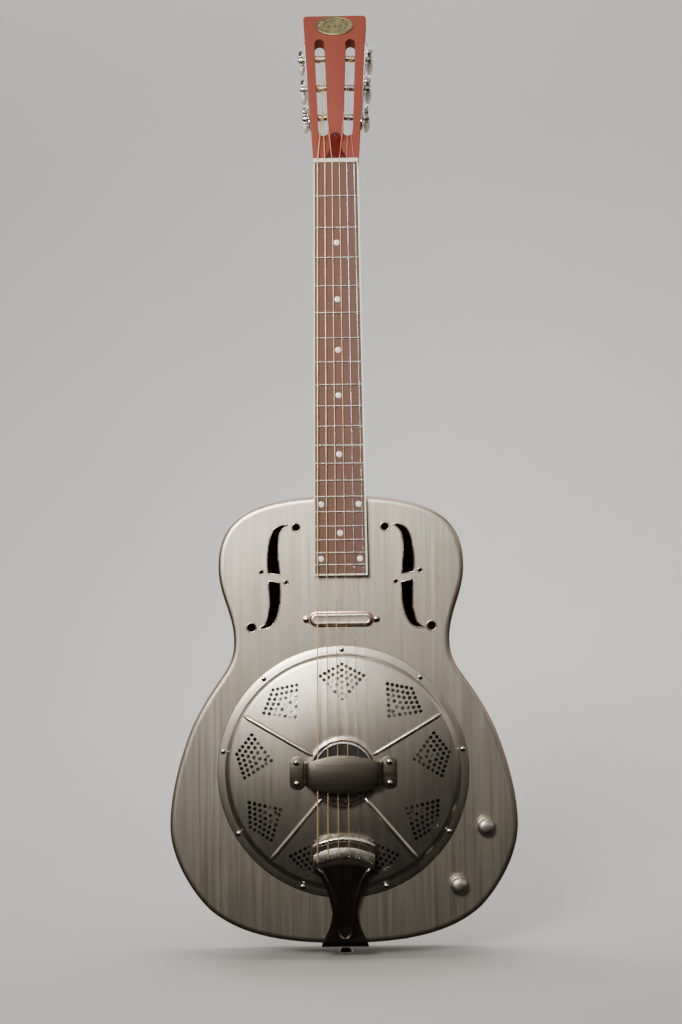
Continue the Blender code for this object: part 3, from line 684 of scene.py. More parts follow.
# ---- finishes ----
class Recipe:
    """A material's nodes while they are put together."""

    def __init__(self, name: str) -> None:
        """Start a material with its shader.

        Args:
            name: the material's name.
        """
        self.material = bpy.data.materials.new(name)
        self.material.use_nodes = True
        self.tree = self.material.node_tree
        self.shader = self.tree.nodes["Principled BSDF"]

    def node(self, kind: str, values: dict, **settings: object) -> bpy.types.Node:
        """Add a node, set its options, and set or link its inputs.

        Args:
            kind: the node's type.
            values: what goes into its inputs.
            settings: the node's own settings.

        Returns:
            The new node.
        """
        node = self.tree.nodes.new(kind)
        for key, value in settings.items():
            setattr(node, key, value)
        for key, value in values.items():
            self.feed(node.inputs[key], value)
        return node

    def feed(self, socket: Socket, value: object) -> None:
        """Link a socket, or set it where the value is plain.

        Args:
            socket: the input.
            value: a constant or the output to link.
        """
        if isinstance(value, Socket):
            self.tree.links.new(value, socket)
        else:
            socket.default_value = value

    def where(self, scale: Point = (1, 1, 1), turn: Point = (0, 0, 0)) -> Socket:
        """Object coordinates, stretched and turned.

        Args:
            scale: how much each axis is stretched.
            turn: how far each axis is turned.

        Returns:
            The coordinates.
        """
        spot = self.node("ShaderNodeTexCoord", {}).outputs["Object"]
        values = {"Vector": spot, "Scale": scale, "Rotation": turn}
        return self.node("ShaderNodeMapping", values).outputs["Vector"]

    def noise(
        self, where: Socket, scale: float, detail: float = 3.0, rough: float = 0.5,
        bend: float = 0.0,
    ) -> Socket:
        """Cloudy variation between 0 and 1.

        Args:
            where: the coordinates.
            scale: its fineness.
            detail: its layers.
            rough: the weight of the fine layers.
            bend: its distortion.

        Returns:
            The noise, from 0 to 1.
        """
        values = {"Vector": where, "Scale": scale, "Detail": detail, "Roughness": rough}
        node = self.node("ShaderNodeTexNoise", {**values, "Distortion": bend})
        return node.outputs[0]

    def cells(self, where: Socket, scale: float) -> Socket:
        """Distance to scattered points."""
        node = self.node("ShaderNodeTexVoronoi", {"Vector": where, "Scale": scale})
        return node.outputs["Distance"]

    def bands(self, where: Socket, scale: float, axis: str, bend: float = 0.0) -> Socket:
        """Regular bands across one axis.

        Args:
            where: the coordinates.
            scale: their fineness.
            axis: the axis that they cross.
            bend: their distortion.

        Returns:
            The bands, from 0 to 1.
        """
        values = {"Vector": where, "Scale": scale, "Distortion": bend}
        node = self.node("ShaderNodeTexWave", values, bands_direction=axis)
        return node.outputs["Fac"]

    def steps(self, factor: Socket, stops: Sequence[tuple[float, Point]]) -> Socket:
        """Colours along a ramp.

        Args:
            factor: what chooses the colour.
            stops: each colour with its place.

        Returns:
            The colour.
        """
        node = self.node("ShaderNodeValToRGB", {"Fac": factor})
        ramp = node.color_ramp
        while len(ramp.elements) < len(stops):
            ramp.elements.new(0.5)
        for element, (at, colour) in zip(ramp.elements, stops):
            element.position = at
            element.color = (*colour, 1)
        return node.outputs["Color"]

    def range(
        self, factor: Socket, low: float, high: float, start: float = 0.0, end: float = 1.0,
    ) -> Socket:
        """Map a factor from low..high to start..end, held at both ends.

        Args:
            factor: the value.
            low: the value that becomes start.
            high: the value that becomes end.
            start: the lowest result.
            end: the highest result.

        Returns:
            The new value.
        """
        values = {
            "Value": factor, "From Min": low, "From Max": high, "To Min": start, "To Max": end,
        }
        return self.node("ShaderNodeMapRange", values).outputs["Result"]

    def blend(self, factor: object, first: object, second: object, mode: str = "MIX") -> Socket:
        """Mix two colours.

        Args:
            factor: the share of the second colour.
            first: the first colour.
            second: the second colour.
            mode: how they mix.

        Returns:
            The mixed colour.
        """
        node = self.node("ShaderNodeMix", {}, data_type="RGBA", blend_type=mode)
        for number, value in ((0, factor), (6, first), (7, second)):
            if isinstance(value, tuple):
                value = (*value, 1)
            self.feed(node.inputs[number], value)
        return node.outputs[2]

    def sum(self, kind: str, first: object, second: object) -> Socket:
        """A calculation on two factors."""
        node = self.node("ShaderNodeMath", {0: first, 1: second}, operation=kind)
        return node.outputs[0]

    def attribute(self, name: str) -> Socket:
        """A factor stored on the piece."""
        return self.node("ShaderNodeAttribute", {}, attribute_name=name).outputs["Fac"]

    def bump(self, height: Socket, depth: float, strength: float = 1.0) -> None:
        """Raise the surface by a height pattern, its depth in millimetres.

        Args:
            height: the height, from 0 to 1.
            depth: how deep it is, in metres.
            strength: how much of it shows.
        """
        values = {"Height": height, "Distance": depth * MM, "Strength": strength}
        node = self.node("ShaderNodeBump", values)
        self.feed(self.shader.inputs["Normal"], node.outputs["Normal"])

    def surface(self, **values: object) -> None:
        """Set or link the shader's sockets by their names, spaces written as underscores."""
        for key, value in values.items():
            self.feed(self.shader.inputs[key.replace("_", " ")], value)


@dataclass(frozen=True)
class Finish:
    """A named finish that builds its material once."""

    name: str

    def brew(self, recipe: Recipe) -> None:
        """Put the finish's nodes together."""
        raise NotImplementedError

    def material(self) -> bpy.types.Material:
        """The finish's material, made on first use.

        Returns:
            The material, made once and used again.
        """
        found = bpy.data.materials.get(self.name)
        if found:
            return found
        recipe = Recipe(self.name)
        self.brew(recipe)
        return recipe.material


@dataclass(frozen=True)
class BrushedNickel(Finish):
    """Antique nickel with a long brushed grain, rubbed through to copper on its edges, with painted
    shade (near-black) on faces inside the body.
    """

    light: Triple = (0.62, 0.59, 0.50)
    dark: Triple = (0.50, 0.47, 0.39)
    copper: Triple = (0.66, 0.40, 0.29)
    # painted shade: the near-black colour given to faces inside the body
    within: Triple = (0.022, 0.020, 0.017)
    grain: Triple = (330.0, 330.0, 6.0)
    rough: Pair = (0.30, 0.36)
    depth: float = 0.003

    def brew(self, recipe: Recipe) -> None:
        """Put the finish's nodes together.

        Args:
            recipe: the node helper to fill.
        """
        grain = recipe.noise(recipe.where(self.grain), 1.0, 4.0, 0.65)
        cloud = recipe.noise(recipe.where(), 14.0, 4.0, 0.6, 0.4)
        base = recipe.blend(recipe.range(grain, 0.3, 0.7), self.dark, self.light)
        tarnish = recipe.range(cloud, 0.55, 0.8, 0.0, 0.45)
        base = recipe.blend(tarnish, base, (0.30, 0.25, 0.18))
        # painted shade: faces marked -1, inside the body, are turned near-black
        inner_shade_mask = recipe.range(recipe.attribute("wear_and_shade"), -1.0, -0.5, 1.0, 0.0)
        base = recipe.blend(inner_shade_mask, base, self.within)
        worn = recipe.noise(recipe.where(), 60.0, 4.0, 0.7)
        worn = recipe.sum("MULTIPLY", recipe.attribute("wear_and_shade"), recipe.range(worn, 0.34, 0.5))
        recipe.surface(
            Base_Color=recipe.blend(worn, base, self.copper), Metallic=1.0,
            Roughness=recipe.range(grain, 0.25, 0.75, *self.rough),
        )
        recipe.bump(grain, self.depth, 0.5)


@dataclass(frozen=True)
class Plated(Finish):
    """Plain plated or bare metal with smudges and fine scratches."""

    colour: Triple = (0.70, 0.68, 0.62)
    shade: Triple = (0.52, 0.49, 0.42)
    rough: Pair = (0.18, 0.34)
    scratch: Triple = (260.0, 260.0, 24.0)
    smudge: float = 45.0
    depth: float = 0.0005

    def brew(self, recipe: Recipe) -> None:
        """Put the finish's nodes together.

        Args:
            recipe: the node helper to fill.
        """
        smudge = recipe.noise(recipe.where(), self.smudge, 4.0, 0.6, 0.3)
        fine = recipe.noise(recipe.where(self.scratch), 1.0, 3.0, 0.6)
        mixed = recipe.sum("MULTIPLY_ADD", fine, 0.15)
        recipe.feed(mixed.node.inputs[2], recipe.sum("MULTIPLY", smudge, 0.85))
        recipe.surface(
            Base_Color=recipe.blend(recipe.range(mixed, 0.4, 0.75), self.colour, self.shade),
            Metallic=1.0, Roughness=recipe.range(mixed, 0.3, 0.7, *self.rough),
        )
        recipe.bump(fine, self.depth, 0.4)


@dataclass(frozen=True)
class SpunMetal(Finish):
    """Metal spun on a lathe, its fine rings centred on the cone."""

    colour: Triple = (0.74, 0.75, 0.76)
    shade: Triple = (0.58, 0.59, 0.60)
    rough: Pair = (0.24, 0.38)

    def brew(self, recipe: Recipe) -> None:
        """Put the finish's nodes together.

        Args:
            recipe: the node helper to fill.
        """
        centre = recipe.where()
        centre.node.inputs["Location"].default_value = (0, 0, LAYOUT.cone * MM)
        values = {"Vector": centre, "Scale": 420.0, "Distortion": 1.2, "Detail": 2.0}
        rings = recipe.node(
            "ShaderNodeTexWave", values, wave_type="RINGS", rings_direction="Y"
        ).outputs["Fac"]
        cloud = recipe.noise(recipe.where(), 30.0, 3.0)
        recipe.surface(
            Base_Color=recipe.blend(recipe.range(cloud, 0.35, 0.75), self.colour, self.shade),
            Metallic=1.0, Roughness=recipe.range(rings, 0.0, 1.0, *self.rough),
        )
        recipe.bump(rings, 0.004, 0.4)


@dataclass(frozen=True)
class Lacquered(Finish):
    """Stained wood under gloss lacquer, its grain along the neck."""

    pale: Triple = (0.105, 0.0032, 0.0004)
    mid: Triple = (0.060, 0.0012, 0.0002)
    deep: Triple = (0.022, 0.0004, 0.0001)
    gloss: float = 0.2
    rough: float = 0.34

    def brew(self, recipe: Recipe) -> None:
        """Put the finish's nodes together.

        Args:
            recipe: the node helper to fill.
        """
        long = recipe.noise(recipe.where((170.0, 170.0, 7.0)), 1.0, 4.0, 0.6, 0.4)
        pores = recipe.noise(recipe.where((900.0, 900.0, 24.0)), 1.0, 3.0, 0.6)
        tone = recipe.steps(long, [(0.30, self.deep), (0.47, self.mid), (0.62, self.pale)])
        tone = recipe.blend(recipe.range(pores, 0.62, 0.74, 0.0, 0.6), tone, self.deep)
        recipe.surface(
            Base_Color=tone, Roughness=recipe.range(pores, 0.3, 0.8, self.rough, self.rough + 0.15),
            Coat_Weight=self.gloss, Coat_Roughness=0.06, Specular_IOR_Level=0.12,
        )
        recipe.bump(pores, 0.004, 0.3)


@dataclass(frozen=True)
class OiledWood(Finish):
    """Open-grained wood with streaks and dark pores, hardly shiny."""

    pale: Triple = (0.185, 0.068, 0.034)
    mid: Triple = (0.105, 0.036, 0.019)
    deep: Triple = (0.042, 0.014, 0.008)
    streak: float = 160.0
    rough: Pair = (0.40, 0.62)

    def brew(self, recipe: Recipe) -> None:
        """Put the finish's nodes together.

        Args:
            recipe: the node helper to fill.
        """
        long = recipe.noise(recipe.where((self.streak, self.streak, 7.0)), 1.0, 5.0, 0.65, 0.4)
        pores = recipe.noise(recipe.where((1500.0, 1500.0, 60.0)), 1.0, 2.0, 0.5)
        tone = recipe.steps(long, [(0.28, self.deep), (0.5, self.mid), (0.74, self.pale)])
        tone = recipe.blend(recipe.range(pores, 0.6, 0.72, 0.0, 0.7), tone, self.deep)
        recipe.surface(
            Base_Color=tone, Roughness=recipe.range(long, 0.3, 0.7, *self.rough),
            Specular_IOR_Level=0.4,
        )
        recipe.bump(pores, 0.03, 0.5)


@dataclass(frozen=True)
class Ivoroid(Finish):
    """Cream plastic or bone, a little yellowed and unevenly polished."""

    colour: Triple = (0.80, 0.74, 0.60)
    shade: Triple = (0.66, 0.57, 0.40)
    scale: float = 55.0
    rough: Pair = (0.26, 0.42)

    def brew(self, recipe: Recipe) -> None:
        """Put the finish's nodes together.

        Args:
            recipe: the node helper to fill.
        """
        cloud = recipe.noise(recipe.where((1, 1, 0.4)), self.scale, 4.0, 0.6)
        recipe.surface(
            Base_Color=recipe.blend(recipe.range(cloud, 0.4, 0.8), self.colour, self.shade),
            Roughness=recipe.range(cloud, 0.3, 0.7, *self.rough), Subsurface_Weight=0.08,
            Subsurface_Radius=(0.002, 0.0015, 0.001),
        )
        recipe.bump(cloud, 0.01, 0.3)


@dataclass(frozen=True)
class Pearloid(Finish):
    """Pearly plastic with overlapping pale flakes."""

    colour: Triple = (0.86, 0.82, 0.70)
    shade: Triple = (0.66, 0.61, 0.48)
    flake: float = 320.0

    def brew(self, recipe: Recipe) -> None:
        """Put the finish's nodes together.

        Args:
            recipe: the node helper to fill.
        """
        where = recipe.where()
        flakes = recipe.cells(where, self.flake)
        cloud = recipe.noise(where, self.flake * 0.4, 3.0, 0.6, 1.5)
        mixed = recipe.sum("MULTIPLY", flakes, cloud)
        recipe.surface(
            Base_Color=recipe.blend(recipe.range(mixed, 0.05, 0.45), self.shade, self.colour),
            Roughness=recipe.range(cloud, 0.3, 0.7, 0.16, 0.3), Coat_Weight=0.5, Coat_Roughness=0.1,
            Sheen_Weight=0.1,
        )
        recipe.bump(cloud, 0.008, 0.3)


@dataclass(frozen=True)
class WoundString(Finish):
    """A string's wrap wire, its turns across the string."""

    colour: Triple = (0.90, 0.64, 0.32)
    shade: Triple = (0.62, 0.40, 0.18)
    turns: float = 420.0

    def brew(self, recipe: Recipe) -> None:
        """Put the finish's nodes together.

        Args:
            recipe: the node helper to fill.
        """
        wrap = recipe.bands(recipe.where(), self.turns, "Z")
        grime = recipe.noise(recipe.where((1, 1, 0.2)), 120.0, 3.0)
        tone = recipe.blend(recipe.range(wrap, 0.1, 0.6), self.shade, self.colour)
        recipe.surface(
            Base_Color=recipe.blend(recipe.range(grime, 0.5, 0.8, 0.0, 0.5), tone, self.shade),
            Metallic=0.6, Roughness=recipe.range(grime, 0.3, 0.7, 0.24, 0.4),
        )
        recipe.bump(wrap, 0.003, 0.3)


@dataclass(frozen=True)
class MatteGround(Finish):
    """The plain pale floor and backdrop."""

    colour: Triple = (0.78, 0.77, 0.75)

    def brew(self, recipe: Recipe) -> None:
        """Put the finish's nodes together.

        Args:
            recipe: the node helper to fill.
        """
        cloud = recipe.noise(recipe.where(), 3.0, 3.0)
        recipe.surface(
            Base_Color=recipe.blend(
                recipe.range(cloud, 0.3, 0.8, 0.0, 0.12), self.colour, (0.6, 0.6, 0.6)
            ),
            Roughness=recipe.range(cloud, 0.2, 0.8, 0.82, 0.92),
        )


class Finishes:
    """The guitar's finishes, by what they are on."""

    body = BrushedNickel("antique_nickel")
    # painted shade: near-black nickel for the soundwell ring deep inside the body
    inside = BrushedNickel("painted_shade_nickel", light=(0.10, 0.093, 0.08), dark=(0.06, 0.055, 0.047))
    cover = BrushedNickel(
        "cover_nickel", light=(0.66, 0.63, 0.54), dark=(0.60, 0.57, 0.48),
        grain=(220.0, 220.0, 6.0), rough=(0.27, 0.31), depth=0.001,
    )
    bright = Plated("bright_nickel")
    satin = Plated("satin_nickel", rough=(0.28, 0.42), colour=(0.58, 0.55, 0.48))
    cone = SpunMetal("spun_aluminium")
    copper = Plated("rubbed_copper", colour=(0.64, 0.40, 0.30), shade=(0.45, 0.27, 0.19))
    # painted shade: the hand rest's nickel is made about a third as bright as the cover's, standing
    # in for shade
    rest = BrushedNickel(
        "rest_nickel_painted_shade", light=(0.215, 0.20, 0.16), dark=(0.18, 0.165, 0.13),
        grain=(8.0, 300.0, 300.0), rough=(0.26, 0.32), depth=0.001,
    )
    # painted shade: the tailpiece plate's nickel is made about a third as bright as its rails,
    # standing in for shade
    tail = BrushedNickel(
        "tail_nickel_painted_shade", light=(0.20, 0.18, 0.145), dark=(0.175, 0.155, 0.125),
        grain=(120.0, 120.0, 10.0), rough=(0.27, 0.31), depth=0.001,
    )
    rail = Plated("rail_nickel", colour=(0.74, 0.70, 0.61), shade=(0.62, 0.57, 0.48), depth=0.0)
    steel = Plated("grey_steel", colour=(0.55, 0.55, 0.55), shade=(0.36, 0.35, 0.33))
    frets = Plated(
        "fret_wire", colour=(0.56, 0.545, 0.50), shade=(0.46, 0.44, 0.39), smudge=20.0, depth=0.0
    )
    brass = Plated("aged_brass", colour=(0.60, 0.48, 0.28), shade=(0.36, 0.27, 0.15))
    gear = Plated("gear_nickel", colour=(0.62, 0.60, 0.55), shade=(0.42, 0.39, 0.34))
    badge = Plated(
        "badge_brass", colour=(0.24, 0.205, 0.115), shade=(0.10, 0.08, 0.045), rough=(0.36, 0.5),
        smudge=160.0,
    )
    # copper wear on the sound-hole lips, made lighter than the worn copper as a painted highlight
    lip = Plated("lip_copper_and_highlight", colour=(0.74, 0.58, 0.46), shade=(0.55, 0.36, 0.26), smudge=70.0)
    black = Plated("black_screw", colour=(0.05, 0.05, 0.05), shade=(0.02, 0.02, 0.02))
    wound = WoundString("wound_string")
    plain = Plated("plain_string", colour=(0.82, 0.81, 0.78), shade=(0.6, 0.58, 0.54))
    mahogany = Lacquered("red_mahogany")
    red = Lacquered(
        "cover_red", pale=(0.13, 0.0008, 0.0005), mid=(0.09, 0.0005, 0.0004),
        deep=(0.05, 0.0003, 0.0002),
    )
    rosewood = OiledWood("rosewood")
    maple = OiledWood(
        "pale_maple", pale=(0.72, 0.54, 0.34), mid=(0.60, 0.42, 0.25), deep=(0.42, 0.27, 0.14)
    )
    # near-black maple for the biscuit, deep under the cover
    stained = OiledWood(
        "near_black_maple", pale=(0.030, 0.024, 0.02), mid=(0.018, 0.014, 0.012),
        deep=(0.008, 0.006, 0.005),
    )
    binding = Ivoroid("cream_binding", colour=(0.84, 0.79, 0.66))
    bone = Ivoroid("bone", colour=(0.86, 0.84, 0.78), shade=(0.72, 0.68, 0.58), scale=220.0)
    button = Pearloid("pearl_button")
    dot = Pearloid("pearl_dot", colour=(0.90, 0.90, 0.86), shade=(0.66, 0.68, 0.66), flake=700.0)
    ground = MatteGround("pale_ground")


@dataclass
class Maker:
    """What every sub-assembly's maker can do with a finished piece."""

    nodes: dict[str, Thing]
    count: int = field(default=0, init=False)

    def keep(
        self, item: Thing, finish: Finish, slot: str, *stands_for: str,
        body: str = Body.GUITAR.value, angle: float = 35.0,
    ) -> Thing:
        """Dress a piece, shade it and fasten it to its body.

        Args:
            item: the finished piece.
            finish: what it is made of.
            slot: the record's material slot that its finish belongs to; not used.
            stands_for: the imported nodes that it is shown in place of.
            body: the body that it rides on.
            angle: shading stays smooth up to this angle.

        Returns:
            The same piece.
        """
        item.data.materials.clear()
        item.data.materials.append(finish.material())
        Bench.smooth(item, angle)
        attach(item, body)
        if stands_for:
            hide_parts(*stands_for)
        self.count += 1
        LOG.info("%s: %d faces, %s", item.name, len(item.data.polygons), finish.name)
        return item

    def dress(self, node: str, finish: Finish) -> None:
        """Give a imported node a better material.

        Args:
            node: the node's name.
            finish: its finish.
        """
        for slot in self.nodes[node].material_slots:
            slot.material = finish.material()
        LOG.info("%s: kept, %s", node, finish.name)

    def build(self) -> None:
        """Make the sub-assembly."""
        raise NotImplementedError


def slotted_screw(name: str, radius: float, height: float) -> Thing:
    """A domed screw head at the origin, facing +Z, with a straight slot.

    Args:
        name: the new piece's name.
        radius: the head's radius in millimetres.
        height: the head's height.

    Returns:
        The head, still in millimetres.
    """
    dome = [(0.0, -0.6), (radius * 0.9, -0.6), (radius, 0.0), (radius, height * 0.25)]
    for i in range(1, 6):
        turn = math.pi / 2 * i / 6
        rise = height * (0.25 + 0.75 * math.sin(turn))
        dome.append((radius * math.cos(turn) ** 0.9, rise))
    dome.append((0.0, height))
    head = Bench.turn(name, dome, Matrix.Identity(4), 24)
    width = radius * 0.26
    slot = [(-radius * 1.2, -width / 2), (radius * 1.2, -width / 2)]
    slot += [(radius * 1.2, width / 2), (-radius * 1.2, width / 2)]
    cutter = Bench.slab("slot_cutter", slot, height, Matrix.Translation((0, 0, height * 0.45)))
    return Bench.carve(head, cutter)


# ---- body ----
@dataclass
class BodyShell(Maker):
    """The metal body: front plate, sides and back, with its sound holes."""

    upper: tuple[float, ...] = (128.3, 424.5, 49.7, 30.4)
    waist: tuple[float, ...] = (112.7, 502.1, 30.3, 31.1)
    flank: tuple[float, ...] = (156.3, 588.4, 56.2, 13.0, 0.452)
    lower: tuple[float, ...] = (181.5, 693.8, 42.5, 39.2)
    hip: tuple[float, ...] = (138.8, 782.6, 16.8, 37.0, -0.88)
    top_handle: float = 98.0
    bottom_handle: float = 67.3
    steps: int = 18
    upper_hole: tuple[Triple, ...] = (
        (-54.8, -381.4, 0.4), (-61.0, -383.0, 2.4), (-66.6, -387.9, 4.0), (-69.6, -397.0, 4.8),
        (-70.8, -408.0, 5.4), (-70.8, -420.0, 6.3), (-69.8, -432.0, 6.4),
    )
    lower_hole: tuple[Triple, ...] = (
        (-69.5, -439.8, 6.3), (-69.3, -447.0, 6.4), (-69.1, -457.0, 5.9), (-70.0, -468.0, 5.3),
        (-72.8, -478.0, 4.8), (-77.5, -485.5, 3.2), (-86.6, -489.2, 0.4),
    )
    round_holes: tuple[Triple, ...] = (
        (-46.4, -383.5, 4.5), (-94.0, -487.4, 5.0), (-82.9, -429.7, 2.5), (-57.3, -440.8, 2.5),
    )

    def outline(self, inset: float = 0.0) -> list[Pair]:
        """The body's outline in (x, z), clockwise from the top centre.

        Args:
            inset: how far inside the outline the points lie.

        Returns:
            Points in millimetres.
        """
        knots = [((0.0, LAYOUT.joint), None, (self.top_handle, LAYOUT.joint))]
        for x, down, before, after, *turn in (
            self.upper, self.waist, self.flank, self.lower, self.hip,
        ):
            lean = turn[0] if turn else 0.0
            way = (math.sin(lean), math.cos(lean))
            first = (x - way[0] * before, down - way[1] * before)
            knots.append(((x, down), first, (x + way[0] * after, down + way[1] * after)))
        knots.append(((0.0, LAYOUT.end), (self.bottom_handle, LAYOUT.end), None))
        half = []
        for a, b in zip(knots, knots[1:]):
            half += cubic(a[0], a[2], b[1], b[0], self.steps)
        half.append(knots[-1][0])
        row = [Vector((x, -down)) for x, down in half]
        row += [Vector((-x, -down)) for x, down in reversed(half[1:-1])]
        moved = []
        for i, point in enumerate(row):
            along = (row[(i + 1) % len(row)] - row[i - 1]).normalized()
            moved.append(point - Vector((-along.y, along.x)) * inset)
        return [(p.x, p.y) for p in moved]

    def ring(self, inset: float, depth: float) -> list[Triple]:
        """One ring of the body at a depth behind the front face."""
        return [(x, depth, z) for x, z in self.outline(inset)]

    def shell(self) -> Thing:
        """The hollow body with rounded edges.

        Returns:
            The closed shell with its inner wall.
        """
        deep = LAYOUT.depth
        rings = [(6.0, 0.0), (3.6, 0.05), (2.1, 0.5), (1.0, 1.3), (0.3, 2.5), (0.0, 4.2)]
        rings += [(0.0, 22.0), (0.0, 50.0), (0.0, deep - 5.0), (0.3, deep - 3.2)]
        rings += [(1.0, deep - 1.6), (2.3, deep - 0.5), (4.2, deep)]
        outer = Bench.stack("body_shell", [self.ring(*r) for r in rings], BODY)
        wall = LAYOUT.sheet
        rings = [(4.8, wall), (2.6, wall + 0.8), (wall, wall + 3.2), (wall, deep - 5.0)]
        rings += [(wall + 1.0, deep - 2.6), (wall + 3.8, deep - wall)]
        inner = Bench.stack("body_hollow", [self.ring(*r) for r in rings], BODY)
        return Bench.carve(outer, inner)

    def cutter(self, outline: Sequence[Point]) -> Thing:
        """A prism through the front plate."""
        return Bench.slab("hole_cutter", outline, 8.0, BODY @ Matrix.Translation((0, 4, 0)) @ STAND)

    def outlines(self) -> list[list[Pair]]:
        """The outlines of the left side's sound holes.

        Returns:
            One closed outline in (x, z) for each hole.
        """
        rows = []
        for path, end in ((self.upper_hole, -1), (self.lower_hole, 0)):
            outline = ribbon(through(path, 3))
            count = len(outline) // 2
            for spot, slant in ((end % count, -1.5), (-1 - end % count, 1.5)):
                x, y = outline[spot]
                outline[spot] = (x, y + slant)
            rows.append(outline)
        for x, y, radius in self.round_holes:
            rows.append([(x + a, y + b) for a, b in oval(radius, radius, 32)])
        return rows

    def sound_holes(self) -> list[Thing]:
        """Cutters for the sound holes of both sides."""
        tools = [self.cutter(outline) for outline in self.outlines()]
        return tools + [Bench.mirrored(tool, "hole_cutter") for tool in tools]

    def lips(self) -> Thing:
        """The rolled lip round each sound hole, worn to copper and lightened as a painted
        highlight.

        Returns:
            All the lips as one piece.
        """
        parts = []
        for outline in self.outlines():
            line = [(x, y, -0.15) for x, y in outline]
            parts.append(Bench.wire("lip", line + line[:2], 0.85, BODY @ STAND, 2))
        parts += [Bench.mirrored(part, "lip") for part in parts]
        return Bench.join("sound_hole_lips", parts)

    def other_holes(self) -> list[Thing]:
        """Cutters for the cone, the pickup, the shafts, the jack and the end button.

        Returns:
            The cutters.
        """
        down = LAYOUT.cone
        tools = [self.cutter([(a, b - down) for a, b in oval(120.0, 120.0, 96)])]
        tools.append(self.cutter([(a, b - 479.6) for a, b in stadium(28.7, 5.1)]))
        for x, y in ((147.0, -696.0), (118.5, -756.0)):
            tools.append(self.cutter([(x + a, y + b) for a, b in oval(3.4, 3.4, 24)]))
        for x, radius in ((0.0, 4.3), (62.0, 4.8)):
            place = BODY @ Matrix.Translation((x, -LAYOUT.end_height, -LAYOUT.end - 8))
            tools.append(Bench.slab("end_cutter", oval(radius, radius, 32), 30.0, place))
        return tools

    def build(self) -> None:
        """Make the shell, cut its holes, wear its edges, mark its inside for painted shade and
        dress what lies inside.
        """
        shell = self.shell()
        Bench.carve(shell, *self.sound_holes(), *self.other_holes())
        level = (BODY @ Vector((0, 0, 0))).y

        def worn(centre: Vector, normal: Vector) -> float:
            """Copper on the lips of the holes, little elsewhere, and -1 inside, where the nickel
            gets painted shade.

            Args:
                centre: the face's centre.
                normal: the face's normal.

            Returns:
                The wear, or -1 for a face inside the body, which gets painted shade.
            """
            deep = centre.y - level
            upright = normal.y > -0.9 and abs(normal.z) + abs(normal.x) > 0.3
            if deep < 1.25 * MM and upright:
                return 0.95
            # faces inside the body get -1: painted shade, near-black
            if deep > 1.3 * MM:
                inward = normal.dot(Vector((-centre.x, 0, -0.6 - centre.z))) > 0
                if abs(normal.y) < 0.5 and inward or normal.y * (40 * MM - deep) > 0.03:
                    return -1.0
            if -0.985 < normal.y < -0.15:
                return 0.15
            return 0.12

        Bench.rub(shell, worn)
        self.keep(shell, Finishes.body, "body_nickel", "body_top", "body_back_and_sides", angle=40)
        for face in shell.data.polygons:
            face.use_smooth = face.use_smooth and abs(face.normal.y) < 0.9998
        self.keep(self.lips(), Finishes.lip, "body_nickel", angle=60)
        # painted shade: the soundwell ring gets the near-black nickel
        self.dress("soundwell_ring", Finishes.inside)
        self.dress("neck_stick", Finishes.maple)


